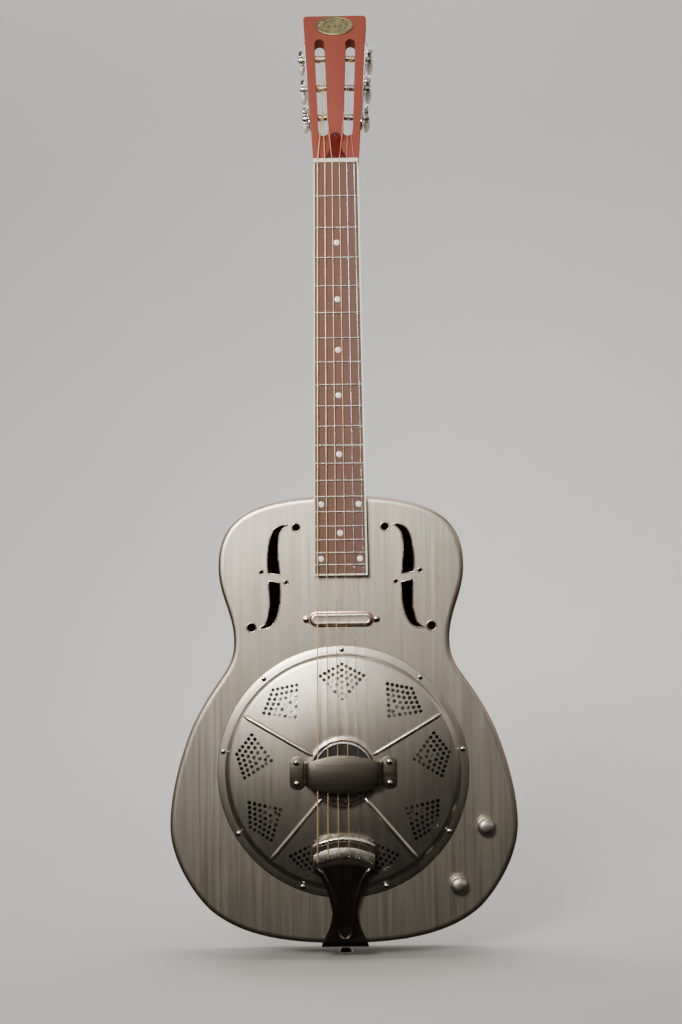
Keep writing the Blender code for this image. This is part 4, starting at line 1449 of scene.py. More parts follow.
# ---- cone, cover and hand rest ----
@dataclass
class ConeAndCover(Maker):
    """The spun cone, the domed cover with its pierced fields, and the hand rest."""

    rim: float = 131.0
    flange: float = 122.2
    mouth: float = 33.4
    crown: float = 13.0
    fields: int = 9
    pierced: float = 1.95
    centre_row: Pair = (112.0, 75.4)
    corner: Pair = (99.9, 22.4)
    beside: tuple[int, ...] = (5, 4, 3, 2, 1, 1, 0)
    rib_angles: tuple[float, ...] = (30.0, 150.0, 230.0, 310.0)
    rest_path: tuple[Triple, ...] = (
        (-55.3, 13.3, 11.0), (-54.6, 13.3, 13.4), (-52.8, 13.3, 15.3), (-49.6, 13.3, 16.5),
        (-46.0, 13.3, 16.7), (-43.0, 13.3, 15.9), (-41.0, 13.6, 13.8), (-39.4, 15.4, 12.2),
        (-38.6, 19.0, 11.8), (-37.6, 26.0, 11.8), (-36.6, 28.4, 12.2), (-34.0, 29.8, 13.1),
        (-24.0, 30.6, 16.2), (-12.0, 30.9, 18.8), (0.0, 31.0, 19.7),
    )

    def dome(self, radius: float) -> float:
        """Height of the cover's outer face at a radius from its centre.

        Args:
            radius: the distance from the middle.

        Returns:
            The height in millimetres.
        """
        edge = self.flange - 2.5
        reach = min(max((edge - radius) / (edge - self.mouth), 0), 1)
        return 5.2 + (self.crown - 5.2) * (1 - (1 - reach) ** 1.6)

    def place(self, lift: float = 0.0) -> Matrix:
        """The cone's axis, facing out of the front."""
        return front(0, LAYOUT.cone, lift)

    def cone(self) -> Thing:
        """The thin cone with its pressed rings.

        Returns:
            The cone.
        """
        edge, top, high, low = 118.6, 32.0, 7.4, -28.3
        outer = [(edge, low + 0.8), (edge - 5.6, low + 0.8), (edge - 6.4, low + 1.1)]
        inner = [(edge, low), (edge - 5.4, low)]
        count = 60
        for i in range(1, count + 1):
            share = i / count
            radius = edge - 7 + (top - edge + 7) * share
            height = low + 0.6 + (high - low - 0.6) * share**0.8
            outer.append((radius, height + 0.35 * math.sin(share * math.tau * 11)))
            if i % 6 == 0:
                inner.append((radius + 0.4, height - 0.9))
        outer += [(top - 3, high), (0.0, high)]
        inner += [(top - 3, high - 0.8), (0.0, high - 0.8)]
        return Bench.turn("spun_cone", outer[::-1] + inner, self.place(), 96)

    def holes(self) -> list[Pair]:
        """Centres of one field's holes as (radius, across).

        Returns:
            The middle of each hole.
        """
        first, last = self.centre_row
        spots = []
        for k, count in enumerate(self.beside):
            radius = first + (last - first) * k / 6
            edge = self.corner[0] + (last - self.corner[0]) * k / 6
            wide = self.corner[1] * (1 - k / 6)
            spots.append((radius, 0.0))
            for j in range(1, count + 1):
                share = j / count
                for out in (-1, 1):
                    spots.append((radius + (edge - radius) * share, out * wide * share))
        return spots

    def sheet(self) -> Thing:
        """The turned cover before it is pierced.

        Returns:
            The plate before its holes are cut.
        """
        edge = self.flange - 2.5
        outer = [(self.rim, 0.3), (self.rim, 0.9), (self.rim - 0.3, 1.35)]
        outer += [(self.rim - 0.9, 1.6), (self.flange + 1.4, 1.6), (self.flange + 0.5, 1.8)]
        outer += [(self.flange - 0.4, 2.6), (self.flange - 1.4, 4.2)]
        count = 28
        for i in range(count + 1):
            radius = edge + (self.mouth + 3.2 - edge) * i / count
            outer.append((radius, self.dome(radius)))
        lip = self.mouth
        outer += [(lip + 2.0, self.crown + 0.3), (lip + 1.2, self.crown + 0.8)]
        outer += [(lip + 0.4, self.crown + 0.8), (lip, self.crown + 0.3)]
        inner = [(lip + 0.6, self.crown - 0.9)]
        for i in range(9):
            radius = lip + 3 + (edge - lip - 3) * i / 8
            inner.append((radius, self.dome(radius) - 1.2))
        inner += [(self.flange - 1.6, 2.4), (self.flange, 0.3)]
        return Bench.turn("cover_plate", outer + inner, self.place(), 180, ring=True)

    def pierce(self, cover: Thing) -> None:
        """Cut every field's holes with one many-bodied tool.

        Args:
            cover: the plate.
        """
        pattern = Bench.slab("hole_pattern", oval(self.pierced, self.pierced, 12), 16.0, Matrix())
        places = []
        for number in range(self.fields):
            turn = Matrix.Rotation(math.radians(90 + 40 * number), 4, "Z")
            for radius, across in self.holes():
                places.append(self.place() @ turn @ Matrix.Translation((radius, across, 0)))
        Bench.carve(cover, Bench.many("hole_tool", pattern, places))

    def ribs(self) -> list[Thing]:
        """The half-round ribs pressed across the dome.

        Returns:
            The four ribs.
        """
        items = []
        for angle in self.rib_angles:
            line, width = [], []
            for i in range(25):
                radius = 34.6 + (118.6 - 34.6) * i / 24
                line.append((radius, 0, self.dome(radius) - 1.3))
                width.append(min(1.0, 0.55 + min(i, 24 - i) * 0.3))
            place = self.place() @ Matrix.Rotation(math.radians(angle), 4, "Z")
            items.append(Bench.wire("rib", line, 3.05, place, 4, width))
        return items

    def pads(self) -> list[Thing]:
        """The raised seats for the hand rest.

        Returns:
            The two pads.
        """
        items = []
        for side in (-1, 1):
            place = self.place() @ Matrix.Translation((side * 48.1, 0, self.dome(52) - 0.8))
            tall = self.crown - self.dome(52) + 0.8
            items.append(Bench.slab("pad", stadium(7.2, 16.7), tall, place, 0.5))
        return items

    def rest(self) -> Thing:
        """The bent hand rest, one bowed strip with flat feet.

        Returns:
            The hand rest.
        """
        path = list(self.rest_path) + [(-x, h, w) for x, h, w in reversed(self.rest_path[:-1])]
        path = through(path, 3)
        rings = []
        for i, (x, h, w) in enumerate(path):
            before, after = path[max(i - 1, 0)], path[min(i + 1, len(path) - 1)]
            along = Vector((after[0] - before[0], after[1] - before[1])).normalized()
            up = Vector((-along.y, along.x)) * 1.4
            rings.append([(x, -w, h), (x, w, h), (x + up.x, w, h + up.y), (x + up.x, -w, h + up.y)])
        item = Bench.stack("hand_rest", rings, self.place())
        return Bench.soften(item, 0.5, 3, 50)

    def build(self) -> None:
        """Make the cone, the cover, its screws and the hand rest."""
        self.keep(self.cone(), Finishes.cone, "aluminium", "resonator_cone")
        cover = self.sheet()
        self.pierce(cover)
        cover = Bench.join("cover_plate", [cover, *self.ribs(), *self.pads()])
        centre = self.place() @ Vector((0, 0, 0))

        def worn(spot: Vector, normal: Vector) -> float:
            """Copper round the pierced holes, the rim and the mouth.

            Args:
                spot: the face's centre.
                normal: the face's normal.

            Returns:
                The wear.
            """
            reach = math.hypot(spot.x - centre.x, spot.z - centre.z) / MM
            if reach > 129.2 or reach < self.mouth + 2.2:
                return 0.8
            if abs(normal.y) < 0.5:
                return 0.9
            return 0.1

        Bench.rub(cover, worn)
        self.keep(cover, Finishes.cover, "bright_nickel", "coverplate", angle=40)
        screw = slotted_screw("screw", 2.7, 1.5)
        places = []
        for number in range(self.fields):
            turn = Matrix.Rotation(math.radians(90 + 40 * number), 4, "Z")
            spin = Matrix.Rotation(1.7 * number, 4, "Z")
            places.append(self.place(1.6) @ turn @ Matrix.Translation((126.7, 0, 0)) @ spin)
        screws = Bench.many("cover_screws", screw, places)
        self.keep(screws, Finishes.bright, "bright_nickel")
        rest = Bench.rub(self.rest(), lambda spot, normal: 0.35 if abs(normal.y) < 0.7 else 0.05)
        self.keep(rest, Finishes.rest, "bright_nickel", "handrest", angle=30)
        screw = slotted_screw("screw", 3.1, 1.8)
        places = []
        corners = [(x, y) for x in (-48.1, 48.1) for y in (-10.8, 10.8)]
        for number, (x, y) in enumerate(corners):
            spin = Matrix.Rotation(0.4 + 1.3 * number, 4, "Z")
            places.append(self.place(15.0) @ Matrix.Translation((x, y, 0)) @ spin)
        nodes = [f"handrest_screw_{number}" for number in range(1, 5)]
        screws = Bench.many("rest_screws", screw, places)
        self.keep(screws, Finishes.bright, "bright_nickel", *nodes)
        self.dress("biscuit", Finishes.stained)
        self.dress("saddle", Finishes.maple)


# ---- pickup and controls ----
@dataclass
class PickupAndControls(Maker):
    """The slim pickup, the two knobs and the output socket."""

    down: float = 479.6
    half: float = 32.7
    wide: float = 7.1
    screw_at: float = 36.4
    knobs: tuple[tuple[str, Body, float, float], ...] = (
        ("volume", Body.VOLUME, 147.0, 696.0), ("tone", Body.TONE, 118.5, 756.0),
    )

    def build(self) -> None:
        """Make the pickup's plate, cover and screws, the knobs and the socket."""
        place = front(0, self.down, 0.3)
        base = Bench.slab("pickup_plate", stadium(self.half + 0.8, self.wide + 0.8, 12), 1.0, place)
        ears = Bench.slab("pickup_ears", stadium(self.screw_at + 3.8, 3.6, 12), 1.0, place)
        Bench.soften(Bench.carve(base, ears, union=True), 0.3, 2, 50)
        self.keep(base, Finishes.copper, "copper", "pickup_base")
        rings = []
        for inset, lift in (
            (0.0, 1.6), (0.0, 3.6), (0.3, 4.4), (1.0, 5.1), (1.9, 5.5), (3.0, 5.6), (3.4, 5.35),
            (4.2, 5.3),
        ):
            outline = stadium(self.half - inset, self.wide - inset, 12)
            rings.append([(x, y, lift) for x, y in outline])
        cover = Bench.stack("pickup_cover_cap", rings, front(0, self.down))
        Bench.rub(cover, lambda spot, normal: 0.85 if -0.95 < normal.y < -0.1 else 0.1)
        self.keep(cover, Finishes.body, "body_nickel", "pickup_cover")
        screw = slotted_screw("screw", 2.9, 1.7)
        places = [front(out * self.screw_at, self.down, 1.6) for out in (-1, 1)]
        screws = Bench.many("pickup_screws", screw, places)
        self.keep(screws, Finishes.bright, "bright_nickel", "pickup_screw_1", "pickup_screw_2")
        profile = [(3.15, 10.2), (3.15, 1.6), (8.6, 1.6), (9.0, 2.0), (9.0, 8.9), (8.85, 9.9)]
        profile += [(8.4, 11.2), (7.5, 12.3), (6.2, 13.1), (4.4, 13.7), (2.2, 13.95), (0.0, 14.0)]
        profile = [(0.0, 10.2)] + profile
        for name, body, x, down in self.knobs:
            knob = Bench.turn(f"{name}_knob_cap", profile, front(x, down), 72)
            self.keep(knob, Finishes.satin, "bright_nickel", f"{name}_knob", body=body.value)
            self.dress(f"{name}_shaft", Finishes.brass)
            self.dress(f"{name}_pot", Finishes.steel)
        self.socket()

    def socket(self) -> None:
        """The output socket's sleeve, washer and six-sided nut, through the lower edge."""
        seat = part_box("output_jack")
        middle = (seat[0] + seat[1]) / 2
        place = Matrix.Translation((middle.x, middle.y, seat[0].z)) @ Matrix.Scale(MM, 4)
        sleeve = [(3.3, 0.3), (3.6, 0.0), (4.3, 0.0), (4.6, 0.3), (4.6, 21.4), (3.3, 21.4)]
        washer = [(4.7, 3.0), (8.9, 3.0), (9.5, 2.6), (9.5, 1.9), (8.9, 1.6), (4.7, 1.6)]
        item = Bench.turn("jack_sleeve", sleeve, place, 48, ring=True)
        ring = Bench.turn("jack_washer", washer, place, 64, ring=True)
        turns = [math.tau * i / 6 for i in range(6)]
        hexagon = [(7.4 * math.cos(turn), 7.4 * math.sin(turn)) for turn in turns]
        nut = Bench.slab("jack_nut", hexagon, 2.2, place @ Matrix.Translation((0, 0, 0.6)))
        below = place @ Matrix.Translation((0, 0, -2))
        bore = Bench.slab("jack_bore", oval(4.65, 4.65, 32), 6.0, below)
        Bench.carve(nut, bore)
        Bench.soften(nut, 0.35, 2)
        socket = Bench.join("output_socket", [item, ring, nut])
        self.keep(socket, Finishes.bright, "bright_nickel", "output_jack")


# ---- tailpiece ----
@dataclass
class Tailpiece(Maker):
    """The pressed tailpiece with its rail, ribs and string bar, and the end button."""

    path: tuple[Triple, ...] = (
        (702.0, 16.6, 27.0), (704.5, 16.6, 31.5), (709.0, 16.6, 33.0), (729.0, 16.2, 32.0),
        (735.0, 15.4, 28.2), (752.0, 12.2, 20.6), (770.0, 8.8, 15.0), (782.0, 6.6, 13.0),
        (798.0, 3.6, 15.8), (810.0, 2.0, 21.5), (815.4, 1.3, 23.6), (818.2, -0.6, 24.4),
        (819.3, -3.6, 24.5), (819.4, -12.0, 22.0), (819.4, -30.0, 16.0), (819.4, -48.0, 12.0),
        (819.4, -53.0, 7.0),
    )

    def height(self, down: float) -> float:
        """Height of the plate's outer face at a distance below the nut.

        Args:
            down: the distance below the nut.

        Returns:
            The height above the body.
        """
        for a, b in zip(self.path, self.path[1:]):
            if a[0] <= down <= b[0]:
                return a[1] + (b[1] - a[1]) * (down - a[0]) / (b[0] - a[0]) + 1.5
        return self.path[0][1] + 1.5

    @staticmethod
    def bow(x: float) -> float:
        """How much lower the string end of the plate lies at a distance from its middle."""
        return 0.0078 * x * x

    def fade(self, down: float) -> float:
        """How much of the bow is left at a distance below the nut."""
        return min(max((758.0 - down) / 26.0, 0.0), 1.0)

    def plate(self) -> Thing:
        """The bent strip, following its path, bowed at its string end.

        Returns:
            The plate.
        """
        path = through(self.path, 4)
        rings = []
        for i, (down, h, w) in enumerate(path):
            before, after = path[max(i - 1, 0)], path[min(i + 1, len(path) - 1)]
            along = Vector((after[0] - before[0], after[1] - before[1])).normalized()
            out = Vector((-along.y, along.x)) * 1.5
            ring = []
            for lift, shares in ((0.0, range(-6, 7)), (1.0, range(6, -7, -1))):
                for share in shares:
                    x = w * share / 6
                    low = down + out.x * lift + self.bow(x) * self.fade(down)
                    ring.append((x, -(h + out.y * lift), -low))
            rings.append(ring)
        item = Bench.stack("tailpiece", rings, BODY)
        place = BODY @ Matrix.Translation((0, -LAYOUT.end_height, -LAYOUT.end - 8))
        Bench.carve(item, Bench.slab("strap_cutter", oval(4.3, 4.3, 32), 12.0, place))
        return Bench.soften(item, 0.45, 2, 50)

    def rail(self, name: str, points: Sequence[Point], radius: float, sink: float) -> Thing:
        """A half-sunk ridge over the plate along (x, distance below the nut) points.

        Args:
            name: the new piece's name.
            points: where it runs.
            radius: its half thickness.
            sink: how far its middle lies under the plate's face.

        Returns:
            The ridge.
        """
        line = []
        for x, down in points:
            line.append((x, -down - self.bow(x) * self.fade(down), self.height(down) - sink))
        width = [min(1.0, 0.55 + 0.15 * min(i, len(line) - 1 - i)) for i in range(len(line))]
        return Bench.wire(name, line, radius, BODY @ STAND, 4, width)

    def bar(self) -> Thing:
        """The bowed band over the plate with a round seat for each string's ball end.

        Returns:
            The bar.
        """
        count = 24
        upper, lower = [], []
        for i in range(count + 1):
            x = -31.6 + 63.2 * i / count
            upper.append((x, -714.2 - self.bow(x)))
            lower.append((x, -725.4 - self.bow(x) + 0.5 * math.cos(math.tau * (x / 10.9 + 0.5))))
        place = BODY @ Matrix.Translation((0, -17.9, 0)) @ STAND
        item = Bench.slab("string_bar", lower + upper[::-1], 2.1, place, 0.7, 3)
        tools = []
        for index in range(6):
            x = -27.25 + 54.5 * index / 5
            seat = [(x + a, b - 723.8 - self.bow(x)) for a, b in oval(2.15, 2.15, 24)]
            below = place @ Matrix.Translation((0, 0, -1.0))
            tools.append(Bench.slab("seat_cutter", seat, 6.0, below))
        return Bench.carve(item, *tools)

    def build(self) -> None:
        """Make the tailpiece, its ball ends and the end button."""
        plate = self.plate()
        parts = [plate]
        for side in (-1, 1):
            rib = [(27.0, 730.0), (23.4, 738.0), (18.6, 750.0), (13.4, 766.0), (10.4, 780.0)]
            rib += [(8.8, 792.0), (8.4, 801.0), (6.6, 807.6), (3.4, 810.6), (0.0, 811.5)]
            rib = [(side * x, down) for x, down in through(rib, 4)]
            parts.append(self.rail("tail_rib", rib, 3.2, 1.5))
        plate = Bench.join("tailpiece", parts)

        def worn(spot: Vector, normal: Vector) -> float:
            """Copper where the plate turns away from the front."""
            return 0.3 if abs(normal.x) > 0.5 or normal.y > -0.6 else 0.05

        Bench.rub(plate, worn)
        self.keep(plate, Finishes.tail, "bright_nickel", "tailpiece_plate", angle=40)
        self.keep(self.bar(), Finishes.rail, "bright_nickel", "tailpiece_string_bar", angle=30)
        cross = [(-31.4 + 62.8 * i / 24, 705.6) for i in range(25)]
        self.keep(self.rail("tail_rail", cross, 3.5, 1.4), Finishes.rail, "bright_nickel")
        ball = [(0.0, -1.9), (0.9, -1.7), (1.6, -1.1), (1.95, 0.0), (1.6, 1.1), (0.9, 1.7)]
        ball.append((0.0, 1.9))
        pattern = Bench.turn("ball", ball, Matrix.Identity(4), 20)
        places = []
        for i in range(6):
            x = -27.25 + 54.5 * i / 5
            places.append(front(x, 723.8 + self.bow(x), 17.4))
        self.keep(Bench.many("ball_ends", pattern, places), Finishes.brass, "brass")
        profile = [(0, -14), (4, -14), (4, 4.6), (7.6, 4.6), (8.2, 5.2), (8.0, 6.2), (6.6, 7.2)]
        profile += [(5.4, 8.6), (5.0, 10.4), (5.6, 12.2), (7.2, 13.4), (7.8, 14.6), (7.5, 15.9)]
        profile += [(6.2, 16.7), (4.0, 17.0), (0, 17.0)]
        place = BODY @ Matrix.Translation((0, -LAYOUT.end_height, -LAYOUT.end)) @ DOWN
        button = Bench.turn("strap_button", profile, place, 56)
        self.keep(button, Finishes.bright, "bright_nickel", "end_button")


# ---- neck ----
@dataclass
class Neck(Maker):
    """The neck, the slotted head, the fretboard and what is set into them."""

    frets: int = 19
    head_corner: float = 4.0
    slot_low: float = 30.4
    slot_high: float = 142.4
    slot_x: Pair = (13.0, 16.9)
    slot_wide: float = 10.4
    sections: tuple[Pair, ...] = (
        (-3.0, 15.0), (4.0, 15.0), (30.0, 15.15), (60.0, 15.4), (120.0, 15.9), (180.0, 16.6),
        (240.0, 17.3), (280.0, 17.9), (300.0, 18.9), (312.0, 20.5), (320.0, 23.6), (328.0, 28.4),
        (334.0, 34.0), (339.0, 41.0), (343.0, 47.6), (346.5, 53.6), (350.5, 60.0),
    )
    dots: tuple[tuple[int, float], ...] = (
        (3, 0.0), (5, 0.0), (7, 0.0), (9, 0.0), (12, 0.0), (15, -19.5), (15, 19.5), (17, 0.0),
        (19, -20.4), (19, 20.4),
    )

    def fret_at(self, number: int) -> float:
        """A fret's distance below the nut."""
        return LAYOUT.scale_length * (1 - 2 ** (-number / 12))

    def ring(self, along: float, depth: float) -> list[Triple]:
        """One D-shaped section, its flat side under the fretboard.

        Args:
            along: the distance from the nut.
            depth: how deep the neck is there.

        Returns:
            The section's points.
        """
        half = LAYOUT.board_half(max(along, 0))
        face = LAYOUT.board_thick + 0.3
        lean = math.sin(math.radians(LAYOUT.neck_angle)) if along > 350 else 0.0
        row = [(-half, face), (0.0, face), (half, face), (half, face + 2.0)]
        count = 22
        for i in range(1, count):
            turn = math.pi * i / count
            bulge = abs(math.sin(turn)) ** 0.8
            row.append((half * math.cos(turn), face + 2.0 + (depth - 2.0) * bulge))
        row.append((-half, face + 2.0))
        return [(x, y, -along + lean * y) for x, y in row]

    def head_outline(self) -> list[Pair]:
        """The head's outline in (x, height above the nut).

        Returns:
            The outline in (x, z).
        """
        low, high, corner = LAYOUT.head_half, LAYOUT.head_top / 2, self.head_corner
        top = LAYOUT.head_length
        row = [(-low, -4.0), (low, -4.0), (low, 0.0)]
        for side, first in ((1, 0), (-1, 1)):
            for i in range(9):
                turn = math.pi / 2 * (first + i / 8)
                x = side * (high - corner) + corner * math.cos(turn)
                row.append((x, top - corner + corner * math.sin(turn)))
        row.append((-low, 0.0))
        return row

    def slot_outline(self, side: int) -> list[Pair]:
        """One long slot of the head with round ends.

        Args:
            side: 1 for the right side and -1 for the left.

        Returns:
            The outline in (x, z).
        """
        low = Vector((side * self.slot_x[0], self.slot_low))
        high = Vector((side * self.slot_x[1], self.slot_high))
        along = (high - low).normalized()
        across = Vector((-along.y, along.x))
        radius = self.slot_wide / 2
        row = []
        for middle, start in ((high - along * radius, 0.0), (low + along * radius, math.pi)):
            for i in range(17):
                turn = start + math.pi * i / 16
                spot = middle - across * radius * math.cos(turn) + along * radius * math.sin(turn)
                row.append((spot.x, spot.y))
        return row

    def wood(self) -> Thing:
        """The neck with its heel and head in one piece.

        Returns:
            The neck with its head, slots and heel.
        """
        neck = Bench.stack("neck_wood", [self.ring(*s) for s in self.sections], NECK)
        thick = LAYOUT.head_thick
        place = HEAD @ Matrix.Translation((0, thick, 0)) @ STAND
        head = Bench.slab("head_wood", self.head_outline(), thick, place)
        Bench.carve(neck, head, union=True)
        tools = []
        for side in (-1, 1):
            place = HEAD @ Matrix.Translation((0, thick + 8, 0)) @ STAND
            tools.append(Bench.slab("slot_cutter", self.slot_outline(side), thick + 14, place))
            ramp = [(-2.0, 14.0), (9.0, 38.0), (9.0, 44.0), (-2.0, 44.0)]
            x = side * self.slot_x[0]
            rings = [[(x + reach, y, z) for y, z in ramp] for reach in (-4.8, 4.8)]
            tools.append(Bench.stack("ramp_cutter", rings, HEAD))
        Bench.carve(neck, *tools)
        Bench.soften(neck, 0.9, 3, 50)
        support = [(-350.8 + 6, 3.05), (-432.0, 5.9), (-432.0, 0.4), (-350.8 + 6, 0.4)]
        rings = [[(x, -y, z) for z, y in support] for x in (-24.0, 24.0)]
        under = Bench.stack("board_support", rings, BODY)
        return Bench.join("neck_wood", [neck, under])

    def board(self) -> None:
        """The fretboard, its frets and position dots."""
        rim, end, thick = 1.6, LAYOUT.board_end, LAYOUT.board_thick
        low, high = LAYOUT.board_half(0) - rim, LAYOUT.board_half(end - rim) - rim
        outline = [(-high, -end + rim), (high, -end + rim), (low, -0.1), (-low, -0.1)]
        place = NECK @ Matrix.Translation((0, thick, 0)) @ STAND
        board = Bench.slab("board_wood", outline, thick, place)
        self.keep(board, Finishes.rosewood, "rosewood", "fretboard")
        turns = [math.pi * i / 10 for i in range(11)]
        crown = [(0.98 * math.cos(turn), 1.05 * math.sin(turn)) for turn in turns]
        rings = [[(x, y, z) for y, z in crown + [(-0.95, -0.5), (0.95, -0.5)]] for x in (-1.0, 1.0)]
        fret = Bench.stack("fret", rings, Matrix.Identity(4))
        places = []
        for number in range(1, self.frets + 1):
            along = self.fret_at(number)
            half = LAYOUT.board_half(along) - rim - 0.05
            spot = NECK @ Matrix.Translation((0, 0, -along)) @ STAND
            places.append(spot @ Matrix.Scale(half, 4, (1, 0, 0)))
        self.keep(Bench.many("fret_wires", fret, places), Finishes.frets, "steel", angle=50)
        profile = [(0.0, -1.0), (3.0, -1.0), (3.0, 0.02), (2.6, 0.12), (0.0, 0.16)]
        dot = Bench.turn("dot", profile, Matrix.Identity(4), 32)
        places = []
        for number, x in self.dots:
            along = (self.fret_at(number) + self.fret_at(number - 1)) / 2
            places.append(NECK @ Matrix.Translation((x, 0, -along)) @ STAND)
        self.keep(Bench.many("position_dots", dot, places), Finishes.dot, "button_pearl")
        self.dress("fretboard_binding", Finishes.binding)

    def nut(self) -> None:
        """The bone nut with a slot for each string."""
        half, thick = LAYOUT.nut_width / 2, LAYOUT.nut_thick - 0.4
        rows = ((0.2, 1.4), (0.6, 1.75), (2.4, 1.6), (LAYOUT.nut_thick - 0.2, -0.1))
        rings = []
        for z, top in rows:
            row = [(-half, 3.6, z), (half, 3.6, z), (half, -top + 0.9, z), (half - 0.8, -top, z)]
            rings.append(row + [(-half + 0.8, -top, z), (-half, -top + 0.9, z)])
        item = Bench.stack("bone_nut", rings, NECK)
        tools = []
        for index, radius in enumerate(Strings.gauges):
            x = -19.05 + 38.1 * index / 5
            line = [(x, -1.4 - radius - 0.1, -3.0), (x, -1.4 - radius + 0.6, thick + 6)]
            tools.append(Bench.wire("nut_cutter", line, radius + 0.12, NECK, 3))
        Bench.carve(item, *tools)
        self.keep(item, Finishes.bone, "cream", "nut", angle=25)

    def head_fittings(self) -> None:
        """The bell-shaped cover, the oval badge and their small screws."""
        bell = [(-10.5, 1.0), (10.5, 1.0), (10.4, 3.2), (9.0, 6.0), (6.6, 9.2)]
        bell += [(5.4, 13.0), (5.0, 18.0)]
        bell += [(5.4, 23.0), (5.5, 25.6), (4.6, 28.4), (2.6, 30.3), (0.0, 31.0)]
        bell += [(-x, y) for x, y in bell[-2:1:-1]]
        cover = Bench.slab("rod_cover", bell, 1.6, on_head(0, 0, 0.3), 0.5, 3)
        self.keep(cover, Finishes.red, "red_mahogany", "truss_rod_cover", angle=30)
        screw = slotted_screw("screw", 1.35, 0.6)
        places = [on_head(x, up, 1.9) for x, up in ((0.0, 27.6), (-8.0, 3.6), (8.0, 3.6))]
        self.keep(Bench.many("rod_cover_screws", screw, places), Finishes.black, "steel")
        plate = Bench.slab("badge_plate", oval(20.2, 11.3, 72), 1.0, on_head(0, 158, 0.3), 0.3, 2)
        tools = [Bench.slab("field_cutter", oval(18.4, 9.5, 72), 2.0, on_head(0, 158, 0.95))]
        Bench.carve(plate, *tools)
        parts = [plate]
        for half_x, half_y in ((18.9, 10.0), (12.4, 6.1)):
            line = [(x, y, 1.05) for x, y in oval(half_x, half_y, 64)]
            parts.append(Bench.wire("badge_line", line + line[:2], 0.42, on_head(0, 158, 0.0)))
        for number in range(16):
            turn = math.tau * (number + 0.5) / 16
            inner = (13.4 * math.cos(turn), 6.9 * math.sin(turn), 1.0)
            outer = (17.4 * math.cos(turn), 8.9 * math.sin(turn), 1.0)
            parts.append(Bench.wire("badge_ray", [inner, outer], 0.3, on_head(0, 158, 0.0)))
        for x in (-6.4, 0.0, 6.4):
            bead = [(0.0, 0.2), (1.5, 0.2), (1.3, 0.8), (0.7, 1.25), (0.0, 1.4)]
            parts.append(Bench.turn("badge_bead", bead, on_head(x, 158, 0.5), 20))
        badge = Bench.join("head_plaque", parts)
        self.keep(badge, Finishes.badge, "brass", "head_badge", angle=30)
        pin = [(0.0, -0.4), (1.0, -0.4), (0.95, 0.25), (0.55, 0.6), (0.0, 0.7)]
        pattern = Bench.turn("pin", pin, Matrix.Identity(4), 20)
        places = [on_head(x, 158, 1.3) for x in (-16.2, 16.2)]
        self.keep(Bench.many("badge_pins", pattern, places), Finishes.steel, "steel")

    def build(self) -> None:
        """Make the wood, the board, the nut and the head's fittings."""
        self.keep(self.wood(), Finishes.mahogany, "red_mahogany", "neck", angle=30)
        self.board()
        self.nut()
        self.head_fittings()
        self.dress("truss_rod", Finishes.steel)


